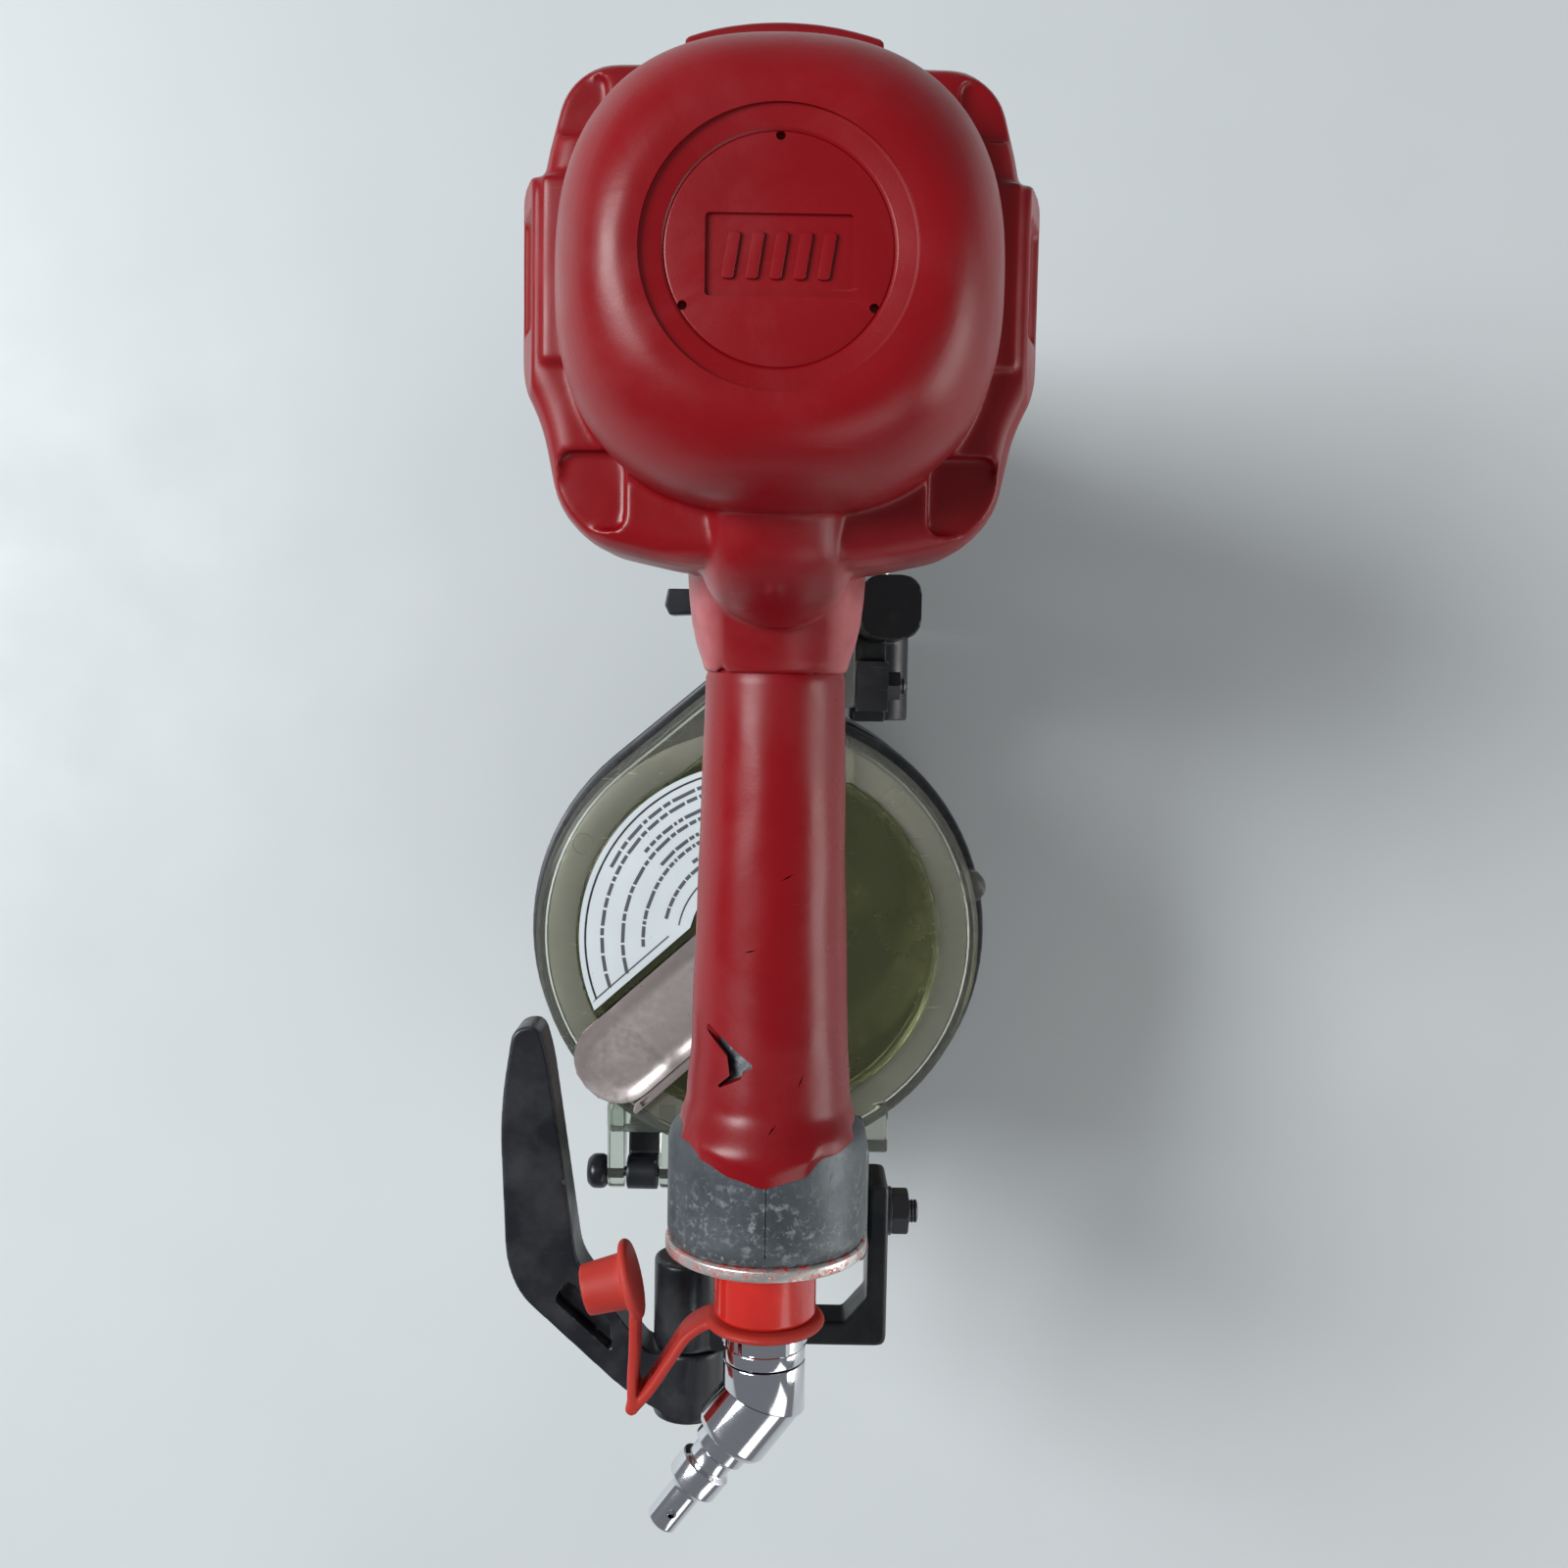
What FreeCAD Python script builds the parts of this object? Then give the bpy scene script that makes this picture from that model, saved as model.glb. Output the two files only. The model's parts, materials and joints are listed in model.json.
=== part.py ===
"""Pneumatic coil nailer, modelled as separate pieces and written as one STEP file each.

Working frame: the driver axis is Z, the nail leaves at the origin going down, the handle runs toward -Y.
Every piece is then leaned back about X, so that the tool stands level on its contact foot and on the
rear rim of its magazine, as it is put down on a bench.
"""
import FreeCAD, Part
import math
import os

V = FreeCAD.Vector
X_AXIS = V(1, 0, 0)
Y_AXIS = V(0, 1, 0)
Z_AXIS = V(0, 0, 1)

# ---- driving dimensions, millimetres ----
# head
HEAD_HALF = 39.5            # half width of the domed top
HEAD_TOP = 289.0
HEAD_CORNER_R = 28.0        # plan radius of the dome's corners
HEAD_EDGE_R = 18.0          # rounding between the dome's side and top
SKIN = 3.0                  # thickness of the rubber cover
FLANGE_LOW = 202.0
FLANGE_TOP = 252.0
PARTING_Z = 236.0           # plane between casting and cap
GASKET = 1.0
DISC_R = 18.7
DISC_RIM_R = 22.8
BOLT_X = 33.0
BOLT_Y = 34.0
# drive
CYL_R = 24.0
CYL_WALL = 2.5
BARREL_R = 35.0
BARREL_FOOT_R = 36.0
NOSE_BOLT_CIRCLE_R = 30.8
BARREL_LOW = 116.0
BUMPER_TOP = 132.0
BLADE_R = 3.4
BLADE_TIP = 105.0
PISTON_LOW = 225.0
RUN = 0.05                  # radial running clearance
# handle
HANDLE_Z = 198.0
HANDLE_END = -196.0
END_R = 22.6
SLEEVE_T = 2.4
SLEEVE_FRONT = -66.0
SLEEVE_REAR = -174.0
# air inlet
COLLAR_R = 11.65
HEX_AF = 17.0
SWIVEL_R = 9.4
ELBOW_Y = -234.0            # where the handle axis meets the slanted axis
ELBOW_DEG = 37.0
PLUG_LENGTH = 38.9
# nose
NOSE_HALF_X = 12.0
NOSE_LOW = 24.0
CONTACT_STROKE = 6.5
CONTACT_SPARE = 3.5         # room left past the contact arm's full stroke
NOSE_FLANGE_LOW = 108.0
CHANNEL_HALF = 4.0
BORE_R = BLADE_R + RUN
NAIL_HOLE_R = 4.5
DIAL_Y = 29.0
TIP_R = 7.2
FOOT_BASE = 5.5             # thickness of the foot's toothed end
# magazine
MAG_X = -4.6
MAG_Y = -145.0
MAG_R = 66.0
MAG_WALL = 4.5
MAG_LOW = 16.0
RIM_Z = 95.0
LID_TOP = 108.0
LID_R = 63.0
PIVOT_Y = -216.0
PIVOT_Z = 97.0
TONGUE_DEG = 222.0
TONGUE_WIDTH = 25.0
FEED_DEG = 40.2             # direction in which the nail strip leaves the coil
# springs
BARS_PER_TURN = 20          # straight lengths that stand for one coil
MITRED = 1                  # sweep corner: square-cut joints between the lengths
# hook
HOOK_X = -19.0
HOOK_Z = 166.0
HOOK_R = 8.8

# The line from the foot's rear edge to the magazine's rear rim lies on the bench.
FOOT_R = 9.0
LEAN_DEG = math.degrees(math.atan2(MAG_LOW, MAG_R - MAG_Y - FOOT_R))


# ---- helpers ----
def box(x0, x1, y0, y1, z0, z1):
    return Part.makeBox(x1 - x0, y1 - y0, z1 - z0, V(x0, y0, z0))


def rod(radius, start, end):
    """Round bar between two points."""
    run = V(*end) - V(*start)
    return Part.makeCylinder(radius, run.Length, V(*start), run)


def tube(outer, inner, start, end):
    return rod(outer, start, end).cut(rod(inner, start, end))


def upright(radius, x, y, z0, z1):
    return rod(radius, (x, y, z0), (x, y, z1))


def fused(shapes):
    whole = shapes[0]
    for shape in shapes[1:]:
        whole = whole.fuse(shape)
    return whole.removeSplitter()


def prism(points, z0, z1):
    """Upright block over a plan outline."""
    wire = Part.makePolygon([V(x, y, z0) for x, y in points + points[:1]])
    return Part.Face(wire).extrude(V(0, 0, z1 - z0))


def loft(wires, ruled=False):
    return Part.makeLoft(wires, True, ruled)


def hexagon(across_flats, start, end):
    """Hexagonal bar along the line between two points."""
    run = V(*end) - V(*start)
    turn = FreeCAD.Rotation(Z_AXIS, run)
    radius = across_flats / math.sqrt(3)
    corners = []
    for i in range(7):
        angle = math.radians(60 * i)
        corner = V(radius * math.cos(angle), radius * math.sin(angle), 0)
        corners.append(V(*start) + turn.multVec(corner))
    return Part.Face(Part.makePolygon(corners)).extrude(run)


def hex_bolt(shank_r, across_flats, head, start, end):
    """Bolt whose head of the given length ends at start, with its shank reaching end."""
    run = (V(*end) - V(*start)).normalize()
    back = V(*start) - run * head
    return fused([hexagon(across_flats, tuple(back), start), rod(shank_r, start, end)])


def nut(shank_r, across_flats, start, end):
    return hexagon(across_flats, start, end).cut(rod(shank_r, start, end))


def coil_spring(radius, wire_r, turns, x, y, z0, z1):
    """Compression spring between two heights, one wire radius clear at each end."""
    bars = turns * BARS_PER_TURN
    points = []
    for i in range(bars + 1):
        angle = 2 * math.pi * i / BARS_PER_TURN
        height = z0 + wire_r + (z1 - z0 - 2 * wire_r) * i / bars
        points.append(V(x + radius * math.cos(angle), y + radius * math.sin(angle), height))
    path = Part.makePolygon(points)
    section = Part.Wire(Part.makeCircle(wire_r, points[0], points[1] - points[0]))
    return path.makePipeShell([section], True, False, MITRED)


def ellipse(half_width, half_height, y):
    """Upright elliptical section across the handle."""
    if half_width > half_height:
        curve = Part.Ellipse(V(0, y, HANDLE_Z), half_width, half_height)
        curve = curve.toShape()
        curve.rotate(V(0, y, HANDLE_Z), X_AXIS, 90)
        return Part.Wire(curve)
    curve = Part.Ellipse(V(half_height, 0, 0), V(0, half_width, 0), V(0, 0, 0)).toShape()
    curve.Placement = FreeCAD.Placement(V(0, y, HANDLE_Z), FreeCAD.Rotation(Z_AXIS, X_AXIS, Y_AXIS))
    return Part.Wire(curve)


# ---- head ----
FLANGE_PLAN = [(19, 47), (36, 46.5), (42, 38), (43.5, 26), (49.5, 22), (49.5, -19), (44.5, -25),
               (41, -40), (34, -45.5), (18, -49)]


def flange_block(inset):
    """Bolting flange of the head, tapered inward at its foot and toward its top."""
    half = FLANGE_PLAN
    plan = half + [(-x, y) for x, y in reversed(half)]

    def level(z, shrink):
        points = []
        for x, y in plan:
            points.append(V(x * (1 - shrink / 49.5), y * (1 - shrink / 48.0), z))
        return Part.makePolygon(points + points[:1])

    return loft([level(FLANGE_LOW + inset, 9 + inset), level(FLANGE_LOW + 12, inset),
                 level(FLANGE_TOP - 6, inset), level(FLANGE_TOP - inset, 4 + inset)], True)


def dome_block(inset):
    """Rounded square dome above the flange."""
    half = HEAD_HALF - inset
    block = box(-half, half, -half, half, FLANGE_LOW + 20, HEAD_TOP - inset)
    upright_edges = [e for e in block.Edges if abs(e.tangentAt(e.FirstParameter).z) > 0.9]
    block = block.makeFillet(HEAD_CORNER_R - inset, upright_edges)
    top_edges = [e for e in block.Edges if e.BoundBox.ZMin > HEAD_TOP - inset - 0.1]
    return block.makeFillet(HEAD_EDGE_R - inset, top_edges)


def neck_block(inset):
    """Neck that blends the head into the handle."""
    def section(half_width, z0, z1, y):
        mid = (z0 + z1) / 2
        curve = Part.Ellipse(V(0, 0, 0), (z1 - z0) / 2 - inset, half_width - inset).toShape()
        curve.Placement = FreeCAD.Placement(V(0, y, mid), FreeCAD.Rotation(Z_AXIS, X_AXIS, Y_AXIS, "ZXY"))
        return Part.Wire(curve)

    return loft([section(19.5, 168, 245, -30), section(19.3, 172, 243, -48),
                 section(17.8, 177, 226, -62), section(15.6, 178.6, 217.4, SLEEVE_FRONT - 2)])


def lip_block(inset):
    """Curved exhaust lip on the front of the head."""
    slab = box(-19 + inset, 19 - inset, 30, 60, 214 + inset, 244 - inset)
    return slab.common(upright(58.5 - inset, 0, -5.2, 210, 250))


def head_block(inset):
    return fused([flange_block(inset), dome_block(inset), lip_block(inset)])


def handle_block(inset):
    """Grip part of the handle, with its flare at the rear."""
    sizes = [(15.3, 18.6, SLEEVE_FRONT), (16.2, 18.9, -105), (17.6, 19.3, -150), (18.4, 20.0, -163),
             (21.4, 21.6, SLEEVE_REAR)]
    return loft([ellipse(w - inset, h - inset, y) for w, h, y in sizes])


def body_casting():
    """One casting: head flange, barrel, neck and hollow handle."""
    head = head_block(SKIN).common(box(-60, 60, -60, 60, 190, PARTING_Z - GASKET))
    barrel = Part.makeCone(BARREL_R - 1, BARREL_R, 110, V(0, 0, BARREL_LOW))
    foot_ring = upright(BARREL_FOOT_R, 0, 0, BARREL_LOW, BARREL_LOW + 6)
    inner_handle = handle_block(SLEEVE_T)
    bridge = rod(12.5, (0, -40, HANDLE_Z), (0, SLEEVE_FRONT - 4, HANDLE_Z))
    end = rod(END_R, (0, SLEEVE_REAR, HANDLE_Z), (0, HANDLE_END, HANDLE_Z))
    lug = box(-14, 24.6, -211, -180, 150, HANDLE_Z - 10)
    lug = lug.cut(rod(END_R + 0.4, (0, HANDLE_END, HANDLE_Z), (0, -220, HANDLE_Z)))
    valve_boss = upright(9, 0, -61, 172, HANDLE_Z)
    pivot_lugs = fused([box(-12, -9, -53, -40, 150, 190), box(9, 12, -53, -40, 150, 190)])
    neck = neck_block(SKIN).common(box(-30, 30, -80, -20, 160, PARTING_Z - GASKET))
    body = fused([head, barrel, foot_ring, neck, bridge, inner_handle, end, lug, valve_boss, pivot_lugs])
    chamber = upright(CYL_R + CYL_WALL + 4, 0, 0, 150, PARTING_Z)
    seat = upright(CYL_R + CYL_WALL, 0, 0, BARREL_LOW, PARTING_Z)
    air = fused([rod(9.5, (0, -20, HANDLE_Z), (0, -170, HANDLE_Z)),
                 rod(17, (0, -168, HANDLE_Z), (0, HANDLE_END, HANDLE_Z))])
    holes = [chamber, seat, air, upright(6.5, 0, -61, 165, HANDLE_Z)]
    holes.append(rod(1.6, (-13, -46, 157), (13, -46, 157)))
    holes.append(rod(3, (5, -204, 160), (30, -204, 160)))
    for x in (-BOLT_X, BOLT_X):
        for y in (-BOLT_Y, BOLT_Y):
            holes.append(upright(3, x, y, 214, PARTING_Z))
    for x, y in nose_bolt_places():
        holes.append(upright(2.5, x, y, BARREL_LOW, BARREL_LOW + 12))
    for hole in holes:
        body = body.cut(hole)
    return body


def head_cover():
    """Rubber boot over the cap, the flange and the neck."""
    outer = fused([head_block(0), neck_block(0)])
    core = fused([head_block(SKIN), neck_block(SKIN)])
    cover = outer.cut(core).cut(upright(BARREL_R + 0.1, 0, 0, 160, 230))
    cover = cover.cut(rod(13, (0, -50, HANDLE_Z), (0, -80, HANDLE_Z)))
    cover = cover.cut(box(-13, 13, -72, -34, 150, 190.2))
    cover = cover.cut(handle_block(SLEEVE_T - 0.1))
    cover = cover.cut(Part.makeCone(DISC_R, DISC_RIM_R, 2.2, V(0, 0, HEAD_TOP - 2.2)))
    cover = cover.cut(upright(DISC_R, 0, 0, HEAD_TOP - 8, HEAD_TOP))
    for x in (-BOLT_X, BOLT_X):
        for y in (-BOLT_Y, BOLT_Y):
            cover = cover.cut(Part.makeSphere(15, V(x * 1.09, y * 1.09, FLANGE_TOP + 13.2)))
    for z in (221, 228, 235):
        cover = cover.cut(box(-13, 13, 46, 60, z, z + 3))
    for side in (-1, 1):
        panel = box(47.9, 51, -14, 18, 219, 237)
        if side < 0:
            panel = panel.mirror(V(0, 0, 0), X_AXIS)
        cover = cover.cut(panel)
    return largest_solid(cover)


def largest_solid(shape):
    return max(shape.Solids, key=lambda solid: solid.Volume)


def cylinder_cap():
    """Cast cap that closes the cylinder and holds the head valve."""
    cap = head_block(SKIN).common(box(-60, 60, -60, 60, PARTING_Z, HEAD_TOP))
    cap = cap.fuse(neck_block(SKIN).common(box(-30, 30, -80, -20, PARTING_Z, 250)))
    cap = cap.cut(upright(30, 0, 0, PARTING_Z, 262))
    cap = cap.cut(upright(DISC_R, 0, 0, HEAD_TOP - SKIN - 3, HEAD_TOP))
    for x in (-BOLT_X, BOLT_X):
        for y in (-BOLT_Y, BOLT_Y):
            cap = cap.cut(upright(3, x, y, PARTING_Z, 260))
            cap = cap.cut(upright(5.6, x, y, 241, 262))
    return largest_solid(cap)


def cap_disc():
    """Snap-in disc in the top recess, with three pry notches and a plain sunk panel."""
    disc = upright(DISC_R, 0, 0, HEAD_TOP - SKIN - 3, HEAD_TOP - 2)
    disc = disc.cut(box(-12, 12, -7.4, 5.8, HEAD_TOP - 2.6, HEAD_TOP))
    for degrees in (90, 210, 330):
        angle = math.radians(degrees)
        notch = upright(0.9, (DISC_R - 0.3) * math.cos(angle), (DISC_R - 0.3) * math.sin(angle),
                        HEAD_TOP - 4, HEAD_TOP)
        disc = disc.cut(notch)
    return disc


def cap_gasket():
    plate = head_block(SKIN + 1).common(box(-60, 60, -44, 60, PARTING_Z - GASKET, PARTING_Z))
    plate = plate.cut(upright(31, 0, 0, 220, 250))
    for x in (-BOLT_X, BOLT_X):
        for y in (-BOLT_Y, BOLT_Y):
            plate = plate.cut(upright(3.2, x, y, 220, 250))
    return largest_solid(plate)


def cap_bolts():
    """Four socket head screws through the cap into the casting."""
    bolts = []
    for x in (-BOLT_X, BOLT_X):
        for y in (-BOLT_Y, BOLT_Y):
            bolt = upright(4.8, x, y, 241, 245.6).fuse(upright(2.95, x, y, 216, 241))
            bolts.append(bolt.cut(hexagon(5, (x, y, 243), (x, y, 249))))
    return Part.makeCompound(bolts)


def piston_stop():
    """Rubber pad under the cap that the piston returns against."""
    pad = upright(13, 0, 0, 254, 262)
    return pad.fuse(upright(6, 0, 0, 244, 254))


def head_valve():
    """Ring valve that opens the cylinder's top."""
    ring = upright(30 - RUN, 0, 0, PARTING_Z + 3, PARTING_Z + 11)
    ring = ring.fuse(upright(CYL_R + 3.4, 0, 0, PARTING_Z + 0.3, PARTING_Z + 4))
    return ring.cut(upright(16, 0, 0, PARTING_Z, PARTING_Z + 12))


def head_valve_spring():
    return coil_spring(23, 1.1, 3, 0, 0, PARTING_Z + 11, 262)


# ---- drive ----
def cylinder():
    outer = upright(CYL_R + CYL_WALL, 0, 0, BUMPER_TOP, PARTING_Z)
    collar = upright(CYL_R + CYL_WALL + 4, 0, 0, 176, 184)
    sleeve = outer.fuse(collar).cut(upright(CYL_R, 0, 0, BUMPER_TOP, PARTING_Z))
    for i in range(8):
        angle = math.radians(45 * i)
        sleeve = sleeve.cut(rod(1.5, (0, 0, 152), (40 * math.cos(angle), 40 * math.sin(angle), 152)))
    return sleeve.cut(upright(40, 0, 0, 179, 181).cut(upright(CYL_R + CYL_WALL + 2.2, 0, 0, 179, 181)))


def cylinder_ring():
    """Seal in the groove of the cylinder's collar."""
    return upright(CYL_R + CYL_WALL + 4, 0, 0, 179, 181).cut(upright(CYL_R + CYL_WALL + 2.2, 0, 0, 179, 181))


def bumper():
    pad = upright(CYL_R + CYL_WALL, 0, 0, BARREL_LOW, BUMPER_TOP)
    waist = upright(40, 0, 0, 121, 127).cut(upright(CYL_R + 0.5, 0, 0, 121, 127))
    return pad.cut(waist).cut(upright(7, 0, 0, BARREL_LOW, BUMPER_TOP))


def piston():
    body = upright(CYL_R - RUN, 0, 0, PISTON_LOW, PISTON_LOW + 10)
    groove = upright(40, 0, 0, PISTON_LOW + 3.5, PISTON_LOW + 6).cut(
        upright(CYL_R - 2, 0, 0, PISTON_LOW + 3.5, PISTON_LOW + 6))
    body = body.cut(groove)
    body = body.cut(upright(8, 0, 0, PISTON_LOW + 6, PISTON_LOW + 10))
    return body.cut(upright(BLADE_R, 0, 0, PISTON_LOW, PISTON_LOW + 6))


def piston_ring():
    return tube(CYL_R - RUN, CYL_R - 2, (0, 0, PISTON_LOW + 3.5), (0, 0, PISTON_LOW + 6))


def driver_blade():
    return upright(BLADE_R, 0, 0, BLADE_TIP, PISTON_LOW + 6)


# ---- handle ----
def grip_sleeve():
    sleeve = handle_block(0).cut(handle_block(SLEEVE_T)).cut(neck_block(0))
    return largest_solid(sleeve.cut(upright(9.2, 0, -61, 160, HANDLE_Z)))


def end_cap():
    """Closing plate of the handle with its painted inlet collar."""
    y_end = HANDLE_END - 3
    plate = rod(END_R + 0.3, (0, HANDLE_END, HANDLE_Z), (0, y_end, HANDLE_Z))
    spigot = rod(17 - 0.02, (0, HANDLE_END, HANDLE_Z), (0, HANDLE_END + 10, HANDLE_Z))
    collar = rod(COLLAR_R, (0, y_end, HANDLE_Z), (0, -215, HANDLE_Z))
    cap = fused([plate, spigot, collar])
    return cap.cut(rod(6.5, (0, -180, HANDLE_Z), (0, -216, HANDLE_Z)))


def inlet_filter():
    """Wire gauze cup inside the handle's end."""
    outer = rod(6.4, (0, -172, HANDLE_Z), (0, -196, HANDLE_Z))
    return outer.cut(rod(5.8, (0, -172.6, HANDLE_Z), (0, -197, HANDLE_Z)))


def inlet_adapter():
    """Hexagon with its threaded spigot and the fixed half of the swivel."""
    parts = [hexagon(HEX_AF, (0, -217.3, HANDLE_Z), (0, -221.5, HANDLE_Z)),
             rod(8.6, (0, -215, HANDLE_Z), (0, -217.3, HANDLE_Z)),
             rod(6.45, (0, -198, HANDLE_Z), (0, -216, HANDLE_Z)),
             rod(SWIVEL_R, (0, -221.5, HANDLE_Z), (0, -225, HANDLE_Z))]
    return fused(parts).cut(rod(3, (0, -190, HANDLE_Z), (0, -226, HANDLE_Z)))


def slant(length):
    """Point on the plug's slanted axis, counted from the elbow's centre."""
    angle = math.radians(ELBOW_DEG)
    return (-length * math.sin(angle), ELBOW_Y - length * math.cos(angle), HANDLE_Z)


def slant_cutter(gap):
    """Half space behind the slanted joint plane, which halves the elbow's angle."""
    half = math.radians(ELBOW_DEG / 2)
    normal = V(-math.sin(half), -math.cos(half), 0)
    return Part.makeCylinder(40, 80, V(0, ELBOW_Y, HANDLE_Z) + normal * gap, normal)


def swivel_elbow():
    body = rod(SWIVEL_R, (0, -225.3, HANDLE_Z), (0, ELBOW_Y - 8, HANDLE_Z))
    body = body.cut(slant_cutter(0))
    return body.cut(rod(3, (0, -225, HANDLE_Z), (0, -250, HANDLE_Z)))


def swivel_plug():
    """Slanted half of the swivel with the quick coupling plug."""
    steps = [(9.0, -8, 13), (6.45, 12, 17), (5.0, 16, 22), (6.3, 21, 27), (3.8, 26, PLUG_LENGTH)]
    body = fused([rod(r, slant(a), slant(b)) for r, a, b in steps])
    body = body.common(slant_cutter(0.3))
    body = body.cut(rod(2.2, slant(-8), slant(PLUG_LENGTH + 1)))
    tip = V(*slant(34))
    return body.cut(rod(1.2, (tip.x, tip.y, tip.z - 8), (tip.x, tip.y, tip.z + 8)))


def dust_cap():
    """Rubber cap on a strap, held by a ring round the inlet."""
    ring = tube(13.6, 8.65, (0, -215, HANDLE_Z), (0, -217.2, HANDLE_Z))
    z0, z1 = HANDLE_Z - 6, HANDLE_Z + 4
    strap = prism([(-12, -217.2), (-12, -214.9), (-21, -219), (-29, -233), (-31, -238), (-27.5, -237),
                   (-20, -224)], z0, z1)
    back = prism([(-31, -238), (-28.6, -235.5), (-28.6, -216), (-31.3, -216)], z0, z1)
    slot = prism([(-20.5, -221.5), (-18.9, -222.4), (-25.4, -232.6), (-26.5, -232)], z0 - 1, z1 + 1)
    axis = V(-0.966, -0.26, 0)
    centre = V(-30, -207.5, HANDLE_Z - 1)
    flange = Part.makeCylinder(9.3, 2.1, centre, axis)
    cap = Part.makeCone(6.3, 5.8, 12, centre, axis)
    bore = Part.makeCylinder(4.2, 10, centre, axis)
    body = fused([ring, strap, back, flange, cap]).cut(slot)
    return body.cut(bore).cut(rod(8.65, (0, -214, HANDLE_Z), (0, -218, HANDLE_Z)))


# ---- trigger ----
def valve_housing():
    body = upright(6.45, 0, -61, 166, 192)
    rim = upright(9, 0, -61, 168.5, 172)
    return fused([body, rim]).cut(upright(2.5 + RUN, 0, -61, 160, 186))


def valve_plunger():
    return upright(2.5, 0, -61, 158, 176)


def plunger_spring():
    return coil_spring(1.9, 0.4, 5, 0, -61, 176, 186)


def trigger():
    """Finger lever hinged under the neck."""
    side = [(-41.5, 161), (-41.5, 152), (-50, 150), (-57, 147), (-63, 138), (-70, 135), (-71.5, 138),
            (-68, 146), (-67, 155), (-60, 158), (-50, 161)]
    wire = Part.makePolygon([V(-8.6, y, z) for y, z in side + side[:1]])
    lever = Part.Face(wire).extrude(V(17.2, 0, 0))
    lever = lever.cut(box(-6.6, 6.6, -80, -40, 149.5, 165))
    lever = lever.cut(rod(1.55, (-13, -46, 157), (13, -46, 157)))
    return lever


def trigger_pin():
    return rod(1.5, (-12.6, -46, 157), (12.6, -46, 157))


def trigger_lever():
    """Idle lever between the trigger and the valve, lifted by the contact arm."""
    bar = box(-4.5, 4.5, -66, -42.5, 154.6, 157.6)
    pad = box(-4.5, 4.5, -46, -40, 154.6, 157.6)
    return fused([bar, pad, rod(2.6, (-4.5, -46, 157), (4.5, -46, 157))]).cut(
        rod(1.55, (-13, -46, 157), (13, -46, 157)))


# ---- nose ----
def nose_bolt_places():
    places = []
    for i in range(4):
        angle = math.radians(45 + 90 * i)
        places.append((NOSE_BOLT_CIRCLE_R * math.cos(angle), NOSE_BOLT_CIRCLE_R * math.sin(angle)))
    return places


def nose():
    """Driver guide with the nail channel, its right wall and the flange under the barrel."""
    flange = upright(BARREL_FOOT_R, 0, 0, NOSE_FLANGE_LOW, BARREL_LOW)
    block = box(-10, NOSE_HALF_X, -12, 12, NOSE_LOW, NOSE_FLANGE_LOW)
    tip = upright(TIP_R, 0, 0, FOOT_BASE + CONTACT_STROKE + CONTACT_SPARE + 1, NOSE_LOW + 4)
    wall = box(CHANNEL_HALF + 1, NOSE_HALF_X, -54, -12, MAG_LOW + 2, 104)
    web = box(CHANNEL_HALF + 1, NOSE_HALF_X, -30, -12, 100, NOSE_FLANGE_LOW + 2)
    lugs = [box(-19.8, -9, 9.3, 15.5, z, z + 8) for z in (20, 56, 92)]
    arm = box(NOSE_HALF_X, 22, -79.5, -40, 52, 60)
    seat = box(10, 22, -79.5, -50, 60, RIM_Z + 0.5)
    body = fused([flange, block, tip, wall, web, arm, seat] + lugs)
    body = body.cut(box(-10.3, CHANNEL_HALF + 1, -60, -12, 10, 104.2))
    body = body.cut(box(-CHANNEL_HALF, CHANNEL_HALF, -60, 0, NOSE_LOW + 5, 104.2))
    body = body.cut(upright(BORE_R, 0, 0, 0, BARREL_LOW))
    body = body.cut(rod(2.5, (8, -73, 90), (24, -73, 90)))
    body = body.cut(hexagon(8.2, (8, -73, 90), (16, -73, 90)))
    body = body.cut(rod(1.5, (-16.5, 12, 10), (-16.5, 12, 106)))
    for z in (30.5, 66.5):
        body = body.cut(upright(4.4, -16.5, 12, z - 1.6, z + 23.6))
    body = body.cut(box(CHANNEL_HALF, 24, -42, -18, 66, 78))
    for x, y in nose_bolt_places():
        body = body.cut(upright(2.6, x, y, NOSE_FLANGE_LOW - 1, BARREL_LOW + 1))
    return largest_solid(body)


def nose_bolts():
    bolts = []
    for x, y in nose_bolt_places():
        shank = upright(2.45, x, y, NOSE_FLANGE_LOW, BARREL_LOW + 11)
        head = upright(4.2, x, y, NOSE_FLANGE_LOW - 5, NOSE_FLANGE_LOW)
        bolts.append(head.fuse(shank).cut(hexagon(4, (x, y, NOSE_FLANGE_LOW - 6), (x, y, NOSE_FLANGE_LOW - 2))))
    return Part.makeCompound(bolts)


def door_pin():
    return fused([upright(1.45, -16.5, 12, 18, 102), upright(2.6, -16.5, 12, 16.5, 19.5)])


def nose_door():
    """Door along the left of the nail channel."""
    plate = box(-15, -10.3, -52, 8, MAG_LOW + 4, 102)
    guide = box(-10.4, -CHANNEL_HALF - 0.3, -51, -13.5, MAG_LOW + 6, 100)
    knuckles = [upright(4, -16.5, 12, z, z + 22) for z in (30.5, 66.5)]
    webs = [box(-16.5, -10.6, 4, 9, z, z + 22) for z in (30.5, 66.5)]
    ears = [box(-22, -14, -52, -45, z, z + 4) for z in (46, 66)]
    door = fused([plate, guide] + knuckles + webs + ears)
    door = door.cut(upright(1.5 + RUN, -16.5, 12, 10, 106))
    for z0 in (19, 55, 91):
        door = door.cut(box(-21, -8.5, 7.5, 17, z0 - 0.5, z0 + 10))
    return door.cut(upright(1.5, -19, -48.5, 40, 75))


def latch_pin():
    return upright(1.45, -19, -48.5, 45.5, 70.5)


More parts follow.
